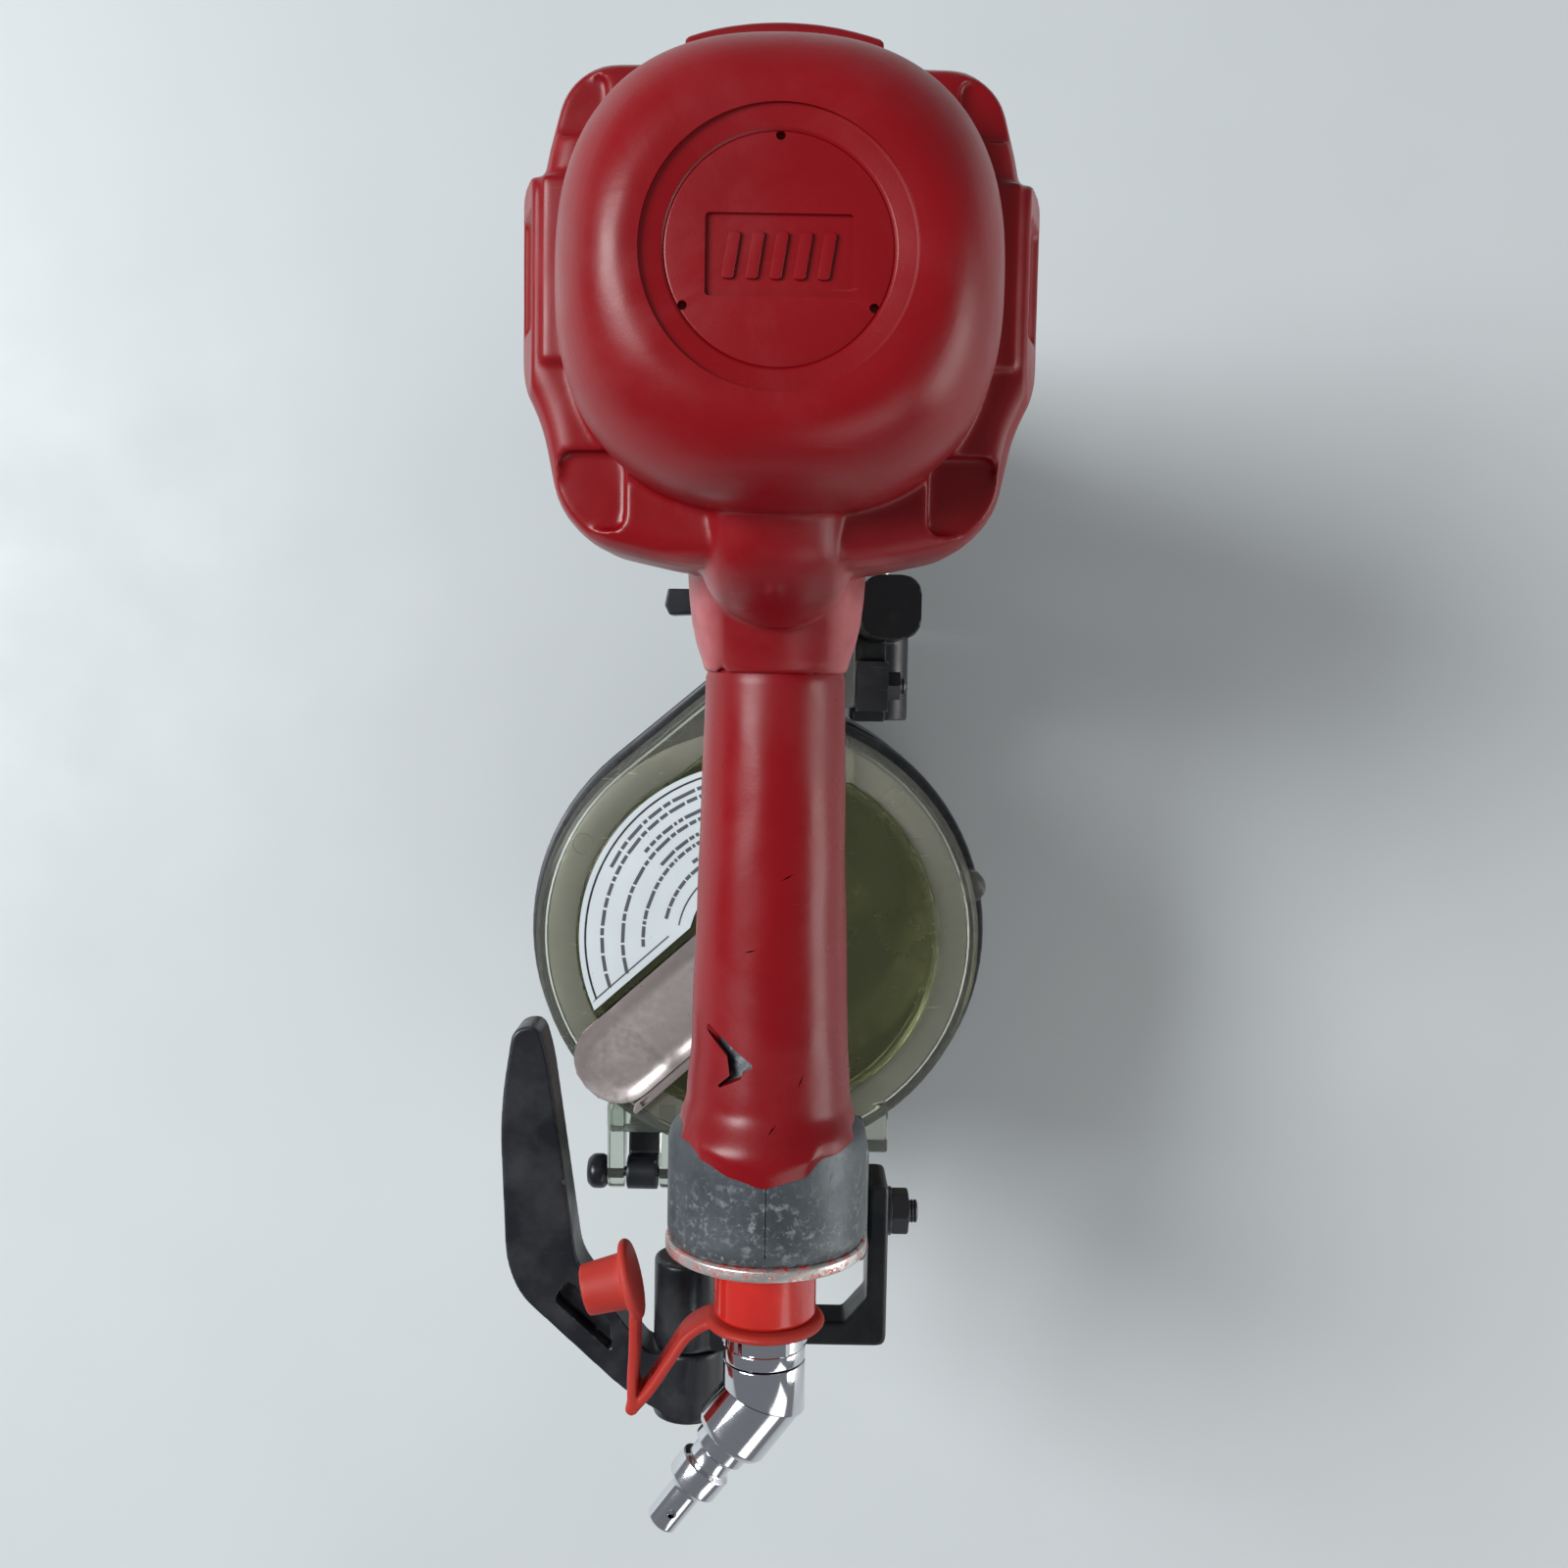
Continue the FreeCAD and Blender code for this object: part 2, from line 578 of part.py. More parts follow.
def door_latch():
    """Spring latch with the thumb tab at the rear of the door."""
    lever = prism([(-16.6, -52), (-33.5, -53), (-35, -50), (-34, -45), (-22, -45), (-16.6, -46)], 50.3, 65.7)
    return lever.cut(upright(1.5 + RUN, -19, -48.5, 40, 75))


def contact_foot():
    """Toothed ring round the nose tip, with its front plate."""
    ring = upright(FOOT_R, 0, 0, 0, NOSE_LOW - CONTACT_STROKE - CONTACT_SPARE - 0.5)
    plate = box(-8, 8, 12.5, 16, 3, 52)
    bridge = box(-8, 8, 4, 16, 0.5, 5)
    foot = fused([ring, plate, bridge])
    foot = foot.cut(upright(TIP_R + 0.3, 0, 0, FOOT_BASE, NOSE_LOW))
    foot = foot.cut(upright(NAIL_HOLE_R, 0, 0, -1, FOOT_BASE + 1))
    for i in range(6):
        angle = math.radians(60 * i + 60)
        notch = rod(1.1, (0, 0, 0), (12 * math.cos(angle), 12 * math.sin(angle), 0))
        foot = foot.cut(notch)
    return foot


def contact_arm():
    """Safety linkage from the foot round the barrel's left side to the trigger."""
    lower = box(-7, 7, 16, 19, 30, 84)
    dial_fork = fused([box(-7, 7, 16, 35, 50, 53), box(-7, 7, 16, 35, 64.4, 67.4)])
    shelf = box(-7, 7, 16, 39.5, 80, 84)
    riser = box(-7, 7, 36.5, 39.5, 80, 134)
    ring = tube(39.5, 36.5, (0, 0, 124), (0, 0, 134))
    wedge_points = [(0, 0)]
    for degrees in range(88, 236, 21):
        angle = math.radians(degrees)
        wedge_points.append((60 * math.cos(angle), 60 * math.sin(angle)))
    hoop = ring.common(prism(wedge_points, 120, 140))
    tail = prism([(-22.3, -30), (-19.6, -31.8), (-2, -39.5), (4, -39.8), (4, -43), (-4, -43)], 124, 134)
    tip = box(-4, 4, -43, -40, 124, 141.5)
    arm = fused([lower, dial_fork, shelf, riser, hoop, tail, tip])
    arm = arm.cut(box(-5, 5, 20.5, 33, 79, 85))
    return arm.cut(upright(2.5, 0, DIAL_Y, 45, 70))


def contact_spring():
    return coil_spring(3.6, 0.7, 6, 0, 29, 84, 108)


def depth_dial():
    """Knurled wheel that sets how far the foot stands out."""
    wheel = upright(9, 0, DIAL_Y, 53.4, 64)
    for i in range(16):
        angle = math.radians(22.5 * i)
        wheel = wheel.cut(upright(0.8, 9 * math.cos(angle), DIAL_Y + 9 * math.sin(angle), 53, 65))
    return wheel.fuse(upright(2.5 - RUN, 0, DIAL_Y, 46, 72))


# ---- feeder ----
FEED_X = 30.5
FEED_Z = 72.0


def feeder_housing():
    """Cylinder beside the nose whose piston steps the nail strip forward."""
    barrel = rod(8.4, (FEED_X, -83.5, FEED_Z), (FEED_X, -43, FEED_Z))
    pad = box(22, 31, -83.5, -50, 60, 90)
    tower = box(22, 38, -60, -43, 72, 128)
    tower = tower.makeFillet(5, [e for e in tower.Edges if e.Length > 55])
    ear = box(22, 31, -80, -66, 84, 106)
    body = fused([barrel, pad, tower, ear])
    body = body.cut(rod(6 + RUN, (FEED_X, -80, FEED_Z), (FEED_X, -40, FEED_Z)))
    body = body.cut(rod(2.5, (5, -73, 90), (40, -73, 90)))
    body = body.cut(box(34, 40, -57, -46, 96, 118))
    return body.cut(box(20, 24.8, -60, -43, FEED_Z - 6, FEED_Z + 6))


def feeder_bolt():
    """Bolt across the feeder with its nut."""
    bolt = hex_bolt(2.45, 8, 4, (16, -73, 90), (37.5, -73, 90))
    return Part.makeCompound([bolt, nut(2.5, 8, (31, -73, 90), (35.4, -73, 90))])


def feed_piston():
    body = rod(6, (FEED_X, -70, FEED_Z), (FEED_X, -60, FEED_Z))
    stem = rod(2.5, (FEED_X, -60, FEED_Z), (FEED_X, -30, FEED_Z))
    return fused([body, stem])


def feed_pawl():
    """Pawl on the feed piston's stem, reaching into the nail channel."""
    block = box(FEED_X - 5, FEED_X + 4, -33, -26, FEED_Z - 4.5, FEED_Z + 4.5)
    finger = box(CHANNEL_HALF + 2, FEED_X - 5, -33, -28, FEED_Z - 3, FEED_Z + 3)
    hooked = prism([(CHANNEL_HALF + 2, -33), (CHANNEL_HALF + 2, -28), (CHANNEL_HALF + 0.6, -28)],
                   FEED_Z - 3, FEED_Z + 3)
    body = fused([block, finger, hooked])
    return body.cut(rod(2.5, (FEED_X, -34, FEED_Z), (FEED_X, -30, FEED_Z)))


# ---- magazine ----
def magazine_plan(radius, trim, z0, z1):
    """Round canister with the straight side along which the strip runs to the nose."""
    across = math.radians(FEED_DEG + 90)
    touch = (MAG_X + radius * math.cos(across), MAG_Y + radius * math.sin(across))
    run = ((-16.5 + trim) - touch[0]) / math.cos(math.radians(FEED_DEG))
    nose_end = (-16.5 + trim, touch[1] + run * math.sin(math.radians(FEED_DEG)))
    throat = prism([touch, nose_end, (-16.5 + trim, -56 - trim), (9.5 - trim, -56 - trim),
                    (9.5 - trim, -90), (MAG_X, MAG_Y)], z0, z1)
    return fused([upright(radius, MAG_X, MAG_Y, z0, z1), throat])


def magazine_cup():
    """Lower half of the magazine, which swings down about the rear pin."""
    cup = magazine_plan(MAG_R, 0, MAG_LOW, RIM_Z)
    cup = cup.cut(magazine_plan(MAG_R - MAG_WALL, MAG_WALL, MAG_LOW + 3, RIM_Z + 1))
    cup = cup.cut(box(-16.5 + MAG_WALL, 4.5, -75, -50, MAG_LOW + 6, RIM_Z + 1))
    cup = cup.cut(upright(MAG_R - 20, MAG_X, MAG_Y, MAG_LOW, MAG_LOW + 1.2))
    lug = fused([rod(5, (-41.6, PIVOT_Y, PIVOT_Z), (-32.4, PIVOT_Y, PIVOT_Z)),
                 box(-41.6, -32.4, PIVOT_Y - 4, -198, 78, RIM_Z - 0.6)])
    lug = lug.cut(upright(MAG_R - MAG_WALL, MAG_X, MAG_Y, 70, RIM_Z))
    post = upright(7, MAG_X, MAG_Y, MAG_LOW + 2, 62)
    cup = fused([cup, lug, post])
    return cup.cut(rod(1.5 + RUN, (-60, PIVOT_Y, PIVOT_Z), (-20, PIVOT_Y, PIVOT_Z)))


def magazine_liner():
    """Stainless floor plate in the cup."""
    plate = upright(MAG_R - MAG_WALL - 0.5, MAG_X, MAG_Y, MAG_LOW + 3, MAG_LOW + 4)
    return plate.cut(upright(7, MAG_X, MAG_Y, MAG_LOW, MAG_LOW + 6))


def nail_support():
    """Height-adjustable disc that carries the coil of nails."""
    disc = upright(48, MAG_X, MAG_Y, 32, 34.5)
    hub = upright(12, MAG_X, MAG_Y, 26, 44)
    body = fused([disc, hub])
    for i in range(6):
        angle = math.radians(60 * i)
        body = body.cut(upright(6, MAG_X + 30 * math.cos(angle), MAG_Y + 30 * math.sin(angle), 30, 36))
    return body.cut(upright(7 + RUN, MAG_X, MAG_Y, 20, 50))


def magazine_lid():
    """Clear upper half of the magazine, fixed to nose and bracket."""
    lid = magazine_plan(LID_R, 3, RIM_Z + 0.5, LID_TOP - 2)
    lid = lid.cut(magazine_plan(LID_R - 2.5, 5.5, RIM_Z, LID_TOP - 5))
    raised = upright(51.5, MAG_X, MAG_Y, LID_TOP - 3, LID_TOP)
    rim_tab = upright(4.5, MAG_X + 62 * math.cos(math.radians(28)), MAG_Y + 62 * math.sin(math.radians(28)),
                      RIM_Z + 0.5, LID_TOP - 2)
    front_pad = box(2, 22, -79, -58, RIM_Z + 0.5, LID_TOP - 2)
    rear_pad = box(8, 34, -206, -190, RIM_Z + 0.5, LID_TOP)
    lugs = []
    for x0 in (-47, -32):
        ear = rod(5, (x0, PIVOT_Y, PIVOT_Z), (x0 + 5, PIVOT_Y, PIVOT_Z))
        web = box(x0, x0 + 5, PIVOT_Y - 4, -192, RIM_Z + 0.5, LID_TOP - 4)
        lugs.extend([ear, web])
    lid = fused([lid, raised, rim_tab, front_pad, rear_pad] + lugs)
    lid = lid.cut(box(-41.9, -32.1, PIVOT_Y - 6, -203.5, RIM_Z, LID_TOP))
    lid = lid.cut(rod(1.5, (-60, PIVOT_Y, PIVOT_Z), (-20, PIVOT_Y, PIVOT_Z)))
    for x, y in lid_screw_places():
        lid = lid.cut(upright(1.7, x, y, RIM_Z, LID_TOP + 1))
    return lid


def lid_screw_places():
    return [(12, -200), (20.5, -200)]


def lid_screws():
    """Pan head screws that hold the bracket's foot on the lid."""
    screws = []
    for x, y in lid_screw_places():
        screws.append(upright(1.65, x, y, 98, 112).fuse(upright(3, x, y, 112, 114)))
    return Part.makeCompound(screws)


def radial_strip(width, r0, r1, z0, z1, offset=0.0):
    """Flat strip from r0 to r1 along the tongue's direction."""
    strip = box(r0, r1, offset - width / 2, offset + width / 2, z0, z1)
    strip.rotate(V(0, 0, 0), Z_AXIS, TONGUE_DEG)
    strip.translate(V(MAG_X, MAG_Y, 0))
    return strip


def magazine_tongue():
    """Stainless strip across the lid, turned down over the rim."""
    angle = math.radians(TONGUE_DEG)
    centre = (MAG_X + 54 * math.cos(angle), MAG_Y + 54 * math.sin(angle))
    round_end = upright(TONGUE_WIDTH / 2, centre[0], centre[1], LID_TOP + 0.1, LID_TOP + 1.1)
    strip = radial_strip(TONGUE_WIDTH, 0, 54, LID_TOP + 0.1, LID_TOP + 1.1)
    turned = radial_strip(14, 65.6, 66.6, RIM_Z + 1, LID_TOP + 1.1)
    joint = radial_strip(14, 60, 66.6, LID_TOP + 0.1, LID_TOP + 1.1)
    clip = radial_strip(5, 22, 52, LID_TOP + 0.1, LID_TOP + 2.2, offset=TONGUE_WIDTH / 2 + 1)
    tongue = fused([strip, round_end, turned, joint, clip])
    return tongue.cut(radial_strip(3, 36, 39, LID_TOP - 1, LID_TOP + 4, offset=TONGUE_WIDTH / 2 + 1.6))


def magazine_label():
    """Thin plate on the left part of the lid."""
    ring = upright(50, MAG_X, MAG_Y, LID_TOP, LID_TOP + 0.4).cut(upright(20, MAG_X, MAG_Y, 100, 120))
    points = [(MAG_X, MAG_Y)]
    for degrees in range(96, 211, 19):
        angle = math.radians(degrees)
        points.append((MAG_X + 90 * math.cos(angle), MAG_Y + 90 * math.sin(angle)))
    plate = ring.common(prism(points, 100, 120))
    return plate.cut(radial_strip(TONGUE_WIDTH + 4, -5, 80, 100, 120))


def magazine_pin():
    pin = rod(1.45, (-48, PIVOT_Y, PIVOT_Z), (-26, PIVOT_Y, PIVOT_Z))
    head = rod(5, (-53, PIVOT_Y, PIVOT_Z), (-47.2, PIVOT_Y, PIVOT_Z))
    return fused([pin, head])


# ---- rear bracket and hook ----
def rear_bracket():
    """Black bracket from the lid up to the handle's end and round to the hook."""
    plate = box(25, 30, -236, -195, 112, 168)
    plate = plate.cut(box(20, 35, -240, -212, 100, 150))
    foot = box(8, 30, -206, -194, LID_TOP, LID_TOP + 4)
    rear = box(-8, 30, -236, -230, 156, 168)
    neck = box(-19, -6, -236, -226, 162, 173)
    barrel = rod(HOOK_R, (HOOK_X, -214, HOOK_Z), (HOOK_X, -236, HOOK_Z))
    body = fused([plate, foot, rear, neck, barrel])
    body = body.cut(rod(3, (20, -204, 160), (35, -204, 160)))
    body = body.cut(rod(4, (HOOK_X, -210, HOOK_Z), (HOOK_X, -240, HOOK_Z)))
    for x, y in lid_screw_places():
        body = body.cut(upright(1.7, x, y, LID_TOP - 1, LID_TOP + 5))
    return body


def bracket_bolt():
    """Stud through the bracket into the casting, with washer and nut."""
    stud = rod(2.95, (8, -204, 160), (37.8, -204, 160))
    washer = tube(6, 3, (30, -204, 160), (31, -204, 160))
    return Part.makeCompound([stud, washer, nut(3, 10, (31, -204, 160), (35.2, -204, 160))])


def hook():
    """Hanging hook that swings about the bracket's barrel."""
    barrel = rod(HOOK_R, (HOOK_X, -236.3, HOOK_Z), (HOOK_X, -254, HOOK_Z))
    z0, z1 = HOOK_Z - 6.5, HOOK_Z + 6.5
    web = prism([(-22, -254), (-22, -236.7), (-29, -236.7), (-46, -216), (-60, -219), (-63, -225),
                 (-34, -247)], z0, z1)
    arm = prism([(-46, -222), (-60, -226), (-65.6, -218), (-65.6, -165), (-62.5, -156), (-56, -155),
                 (-54, -162), (-50.6, -205)], z0, z1)
    arm = arm.fuse(web)
    arm = arm.cut(prism([(-51, -221), (-45, -223), (-40, -231), (-44, -235)], HOOK_Z + 2, z1 + 1))
    body = fused([barrel, arm])
    return body.cut(rod(4 + RUN, (HOOK_X, -230, HOOK_Z), (HOOK_X, -250, HOOK_Z)))


def hook_pin():
    """Shaft that the hook turns on."""
    return rod(4, (HOOK_X, -215, HOOK_Z), (HOOK_X, -249.5, HOOK_Z))


PIECES = {
    "body_casting": body_casting, "head_cover": head_cover, "cylinder_cap": cylinder_cap,
    "cap_disc": cap_disc, "cap_gasket": cap_gasket, "cap_bolts": cap_bolts, "piston_stop": piston_stop,
    "head_valve": head_valve, "head_valve_spring": head_valve_spring, "cylinder": cylinder,
    "cylinder_ring": cylinder_ring, "bumper": bumper, "piston": piston, "piston_ring": piston_ring,
    "driver_blade": driver_blade, "grip_sleeve": grip_sleeve, "end_cap": end_cap,
    "inlet_filter": inlet_filter, "inlet_adapter": inlet_adapter, "swivel_elbow": swivel_elbow,
    "swivel_plug": swivel_plug, "dust_cap": dust_cap, "valve_housing": valve_housing,
    "valve_plunger": valve_plunger, "plunger_spring": plunger_spring, "trigger": trigger,
    "trigger_pin": trigger_pin, "trigger_lever": trigger_lever, "nose": nose, "nose_bolts": nose_bolts,
    "door_pin": door_pin, "nose_door": nose_door, "latch_pin": latch_pin, "door_latch": door_latch,
    "contact_foot": contact_foot, "contact_arm": contact_arm, "contact_spring": contact_spring,
    "depth_dial": depth_dial, "feeder_housing": feeder_housing, "feeder_bolt": feeder_bolt,
    "feed_piston": feed_piston, "feed_pawl": feed_pawl, "magazine_cup": magazine_cup,
    "magazine_liner": magazine_liner, "nail_support": nail_support, "magazine_lid": magazine_lid,
    "lid_screws": lid_screws, "magazine_tongue": magazine_tongue, "magazine_label": magazine_label,
    "magazine_pin": magazine_pin, "rear_bracket": rear_bracket, "bracket_bolt": bracket_bolt,
    "hook": hook, "hook_pin": hook_pin,
}


def main():
    os.makedirs("parts", exist_ok=True)
    for name, make in PIECES.items():
        shape = make()
        shape.rotate(V(0, 0, 0), X_AXIS, LEAN_DEG)
        shape.exportStep("parts/" + name + ".step")
        print(name, len(shape.Solids), shape.isValid(), round(shape.Volume))


main()
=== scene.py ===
"""Looks of the pneumatic coil nailer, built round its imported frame.

Every piece is shaped in the tool's own frame, in millimetres: the driver axis is Z, the nail exit is the
origin and the handle runs toward -Y. PLACE then leans it back and scales it to metres.
"""
import json
import math
import bmesh
import bpy
from mathutils import Matrix, Vector, noise


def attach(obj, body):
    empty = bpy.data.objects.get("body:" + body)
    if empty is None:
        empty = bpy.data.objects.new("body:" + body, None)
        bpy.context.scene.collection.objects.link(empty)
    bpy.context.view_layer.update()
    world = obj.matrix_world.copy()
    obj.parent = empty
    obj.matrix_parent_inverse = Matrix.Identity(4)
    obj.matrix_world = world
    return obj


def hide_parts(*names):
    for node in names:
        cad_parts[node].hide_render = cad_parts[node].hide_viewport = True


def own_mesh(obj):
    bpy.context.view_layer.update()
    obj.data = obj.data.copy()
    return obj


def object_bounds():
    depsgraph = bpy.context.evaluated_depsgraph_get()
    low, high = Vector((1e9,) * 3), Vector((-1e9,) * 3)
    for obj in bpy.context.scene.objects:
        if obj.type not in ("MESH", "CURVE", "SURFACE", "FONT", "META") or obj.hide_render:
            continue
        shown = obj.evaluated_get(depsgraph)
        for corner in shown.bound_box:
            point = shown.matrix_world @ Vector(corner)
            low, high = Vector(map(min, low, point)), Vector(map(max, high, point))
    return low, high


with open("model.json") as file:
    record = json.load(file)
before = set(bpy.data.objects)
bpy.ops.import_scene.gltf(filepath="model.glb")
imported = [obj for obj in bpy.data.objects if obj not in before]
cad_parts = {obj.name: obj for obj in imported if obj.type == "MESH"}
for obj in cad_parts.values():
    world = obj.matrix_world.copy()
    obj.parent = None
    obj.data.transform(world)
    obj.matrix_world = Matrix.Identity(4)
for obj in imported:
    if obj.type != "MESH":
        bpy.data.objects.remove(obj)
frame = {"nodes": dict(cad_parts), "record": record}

CAD_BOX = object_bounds()


# ---- frame ----
def mount(name):
    return next(m for m in frame["record"]["mounts"] if m["name"] == name)


EXIT_AXIS = mount("nail_exit")["axis"]
LEAN = math.atan2(EXIT_AXIS[1], -EXIT_AXIS[2])
UPRIGHT = Matrix.Rotation(-LEAN, 4, "X")
PLACE = Matrix.Rotation(LEAN, 4, "X") @ Matrix.Scale(0.001, 4)


def span(node):
    """Lowest and highest corner of a CAD node in the tool's frame, millimetres."""
    points = [UPRIGHT @ v.co * 1000 for v in frame["nodes"][node].data.vertices]
    low = Vector([min(p[i] for p in points) for i in range(3)])
    high = Vector([max(p[i] for p in points) for i in range(3)])
    return low, high


# ---- driving dimensions, from the frame ----
HANDLE_Z = sum(c[2] for c in span("inlet_adapter")) / 2
HEAD_TOP = span("head_cover")[1].z
SLEEVE_HIGH = span("grip_sleeve")[1]
CUP_LOW = span("magazine_cup")[0]
LINER_LOW, LINER_HIGH = span("magazine_liner")
LID_LOW, LID_HIGH = span("magazine_lid")
MAG_X = (LINER_LOW.x + LINER_HIGH.x) / 2
MAG_Y = (LINER_LOW.y + LINER_HIGH.y) / 2
MAG_R = MAG_X - CUP_LOW.x
LID_R = MAG_X - LID_LOW.x
LID_TOP = LID_HIGH.z
RIM_Z = LID_LOW.z - 0.5
PIN_LOW, PIN_HIGH = span("magazine_pin")
PIVOT_Y = (PIN_LOW.y + PIN_HIGH.y) / 2
PIVOT_Z = (PIN_LOW.z + PIN_HIGH.z) / 2
ELBOW_Y = -234.0
ELBOW_ANGLE = math.radians(37)
TONGUE_ANGLE = math.radians(222)
COARSE = 1.0
FEED_ANGLE = math.radians(40.2)


# ---- mesh helpers ----
def finish_piece(name, mesh, body, material, replaces=(), sharp=35):
    """Puts a mesh into the scene on its body, with its material."""
    mesh.transform(PLACE)
    mesh.materials.clear()
    mesh.materials.append(material)
    obj = bpy.data.objects.new(name, mesh)
    bpy.context.scene.collection.objects.link(obj)
    for polygon in mesh.polygons:
        polygon.use_smooth = True
    mesh.set_sharp_from_angle(angle=math.radians(sharp))
    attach(obj, body)
    if replaces:
        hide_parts(*replaces)
    return obj


def to_mesh(bm, name="part"):
    bmesh.ops.recalc_face_normals(bm, faces=bm.faces)
    mesh = bpy.data.meshes.new(name)
    bm.to_mesh(mesh)
    bm.free()
    return mesh


def skin(rings, caps=True, closed=False):
    """Mesh over a list of equal rings of points; closed joins the last ring to the first."""
    bm = bmesh.new()
    rows = [[bm.verts.new(p) for p in ring] for ring in rings]
    pairs = list(zip(rows, rows[1:]))
    if closed:
        pairs.append((rows[-1], rows[0]))
    for low, high in pairs:
        count = len(low)
        for i in range(count):
            bm.faces.new((low[i], low[(i + 1) % count], high[(i + 1) % count], high[i]))
    if caps and not closed:
        bm.faces.new(rows[0][::-1])
        bm.faces.new(rows[-1])
    return to_mesh(bm)


def polar(radius, angle, x=0.0, y=0.0):
    return x + radius * math.cos(angle), y + radius * math.sin(angle)


def circle(count, radius, x=0.0, y=0.0, first=0.0):
    """Points evenly round a circle, from a first angle in degrees."""
    return [polar(radius, math.radians(first) + 2 * math.pi * i / count, x, y) for i in range(count)]


def clamp(value):
    return min(1.0, max(0.0, value))


def smooth_step(t):
    return t * t * (3 - 2 * t)


def axis_frame(start, axis):
    """Matrix that carries +Z at the origin to the given axis at start."""
    turn = Vector((0, 0, 1)).rotation_difference(Vector(axis)).to_matrix().to_4x4()
    return Matrix.Translation(Vector(start)) @ turn


def corner_points(before, here, after, radius, share, steps):
    """Points that round one corner, taking at most a share of each side next to it."""
    a, b, c = Vector(before), Vector(here), Vector(after)
    trim = min(radius, (a - b).length * share, (c - b).length * share)
    if trim < 0.01:
        return [tuple(b)]
    start = b + (a - b).normalized() * trim
    end = b + (c - b).normalized() * trim
    places = [i / steps for i in range(steps + 1)]
    return [tuple(start.lerp(b, t).lerp(b.lerp(end, t), t)) for t in places]


def softened_profile(profile, radius, steps=3):
    """Rounds the inner corners of a lathe profile of (height, radius) points."""
    result = [profile[0]]
    for corner in zip(profile, profile[1:], profile[2:]):
        result += corner_points(*corner, radius, 0.45, steps)
    return result + [profile[-1]]


def lathe(profile, start=(0, 0, 0), axis=(0, 0, 1), around=64, rounding=0.4):
    """Turned solid from a profile of (distance along axis, radius), open ends at radius 0."""
    place = axis_frame(start, axis)
    rings = []
    for height, radius in softened_profile(profile, rounding):
        rings.append([place @ Vector((x, y, height)) for x, y in circle(around, radius)])
    closed = (Vector(profile[0]) - Vector(profile[-1])).length < 1e-6
    if closed:
        rings = rings[:-1]
    return skin(rings, caps=not closed, closed=closed)


def rod(radius, start, end, around=40, rounding=0.3):
    axis = Vector(end) - Vector(start)
    length = axis.length
    return lathe([(0, radius * 0.4), (0, radius), (length, radius), (length, radius * 0.4)],
                 start, axis, around, rounding)


def upright(radius, x, y, z0, z1, around=40, rounding=0.3):
    return rod(radius, (x, y, z0), (x, y, z1), around, rounding)


def handle_lathe(profile, y, around, rounding):
    """Turned solid on the handle's axis, its profile running rearward from y."""
    return lathe(profile, (0, y, HANDLE_Z), (0, -1, 0), around, rounding)


def rectangle(x0, x1, y0, y1):
    return [(x0, y0), (x1, y0), (x1, y1), (x0, y1)]


def block(x0, x1, y0, y1, z0, z1, bevel=0.0):
    return prism(rectangle(x0, x1, y0, y1), z0, z1, bevel)


def rounded_outline(points, radius, steps=5):
    """Plan outline with its corners rounded; radius is one number or one per corner."""
    radii = radius if isinstance(radius, (list, tuple)) else [radius] * len(points)
    result = []
    for before, here, after, wanted in zip(points[-1:] + points, points, points[1:] + points[:1], radii):
        result += corner_points(before, here, after, wanted, 0.48, steps)
    return result


def prism(points, z0, z1, bevel=0.0, segments=3):
    """Upright block over an outline, with bevelled edges."""
    bm = bmesh.new()
    bottom = [bm.verts.new((x, y, z0)) for x, y in points]
    face = bm.faces.new(bottom)
    made = bmesh.ops.extrude_face_region(bm, geom=[face])
    top = [v for v in made["geom"] if isinstance(v, bmesh.types.BMVert)]
    bmesh.ops.translate(bm, verts=top, vec=(0, 0, z1 - z0))
    bmesh.ops.recalc_face_normals(bm, faces=bm.faces)
    if bevel:
        edges = [e for e in bm.edges if len(e.link_faces) == 2 and e.calc_face_angle() > 0.6]
        bmesh.ops.bevel(bm, geom=edges, offset=bevel, segments=segments, profile=0.6,
                        affect="EDGES", clamp_overlap=True)
    return to_mesh(bm)


def side_prism(points, x0, x1, bevel=0.0):
    """Block whose outline lies in the YZ plane."""
    mesh = prism(points, x0, x1, bevel)
    mesh.transform(Matrix(((0, 0, 1, 0), (1, 0, 0, 0), (0, 1, 0, 0), (0, 0, 0, 1))))
    return mesh


def joined(meshes):
    """One mesh of several, left overlapping."""
    bm = bmesh.new()
    for mesh in meshes:
        bm.from_mesh(mesh)
    return to_mesh(bm)


def evaluated(mesh, modifiers):
    """Applies modifiers, given as (type, settings), and returns the resulting mesh."""
    obj = bpy.data.objects.new("work", mesh)
    bpy.context.scene.collection.objects.link(obj)
    helpers = []
    for kind, settings in modifiers:
        modifier = obj.modifiers.new(kind, kind)
        for key, value in settings.items():
            if key == "object":
                value = bpy.data.objects.new("cutter", value)
                bpy.context.scene.collection.objects.link(value)
                helpers.append(value)
            setattr(modifier, key, value)
    graph = bpy.context.evaluated_depsgraph_get()
    result = bpy.data.meshes.new_from_object(obj.evaluated_get(graph))
    for helper in helpers + [obj]:
        bpy.data.objects.remove(helper)
    return result


def cut(mesh, *cutters):
    """Subtracts closed meshes."""
    if not cutters:
        return mesh
    steps = [("BOOLEAN", {"operation": "DIFFERENCE", "solver": "EXACT", "object": c}) for c in cutters]
    return evaluated(mesh, steps)


def touches(first, second):
    """True when the boxes of two meshes overlap."""
    for i in range(3):
        a = [v.co[i] for v in first.vertices]
        b = [v.co[i] for v in second.vertices]
        if min(a) > max(b) or min(b) > max(a):
            return False
    return True


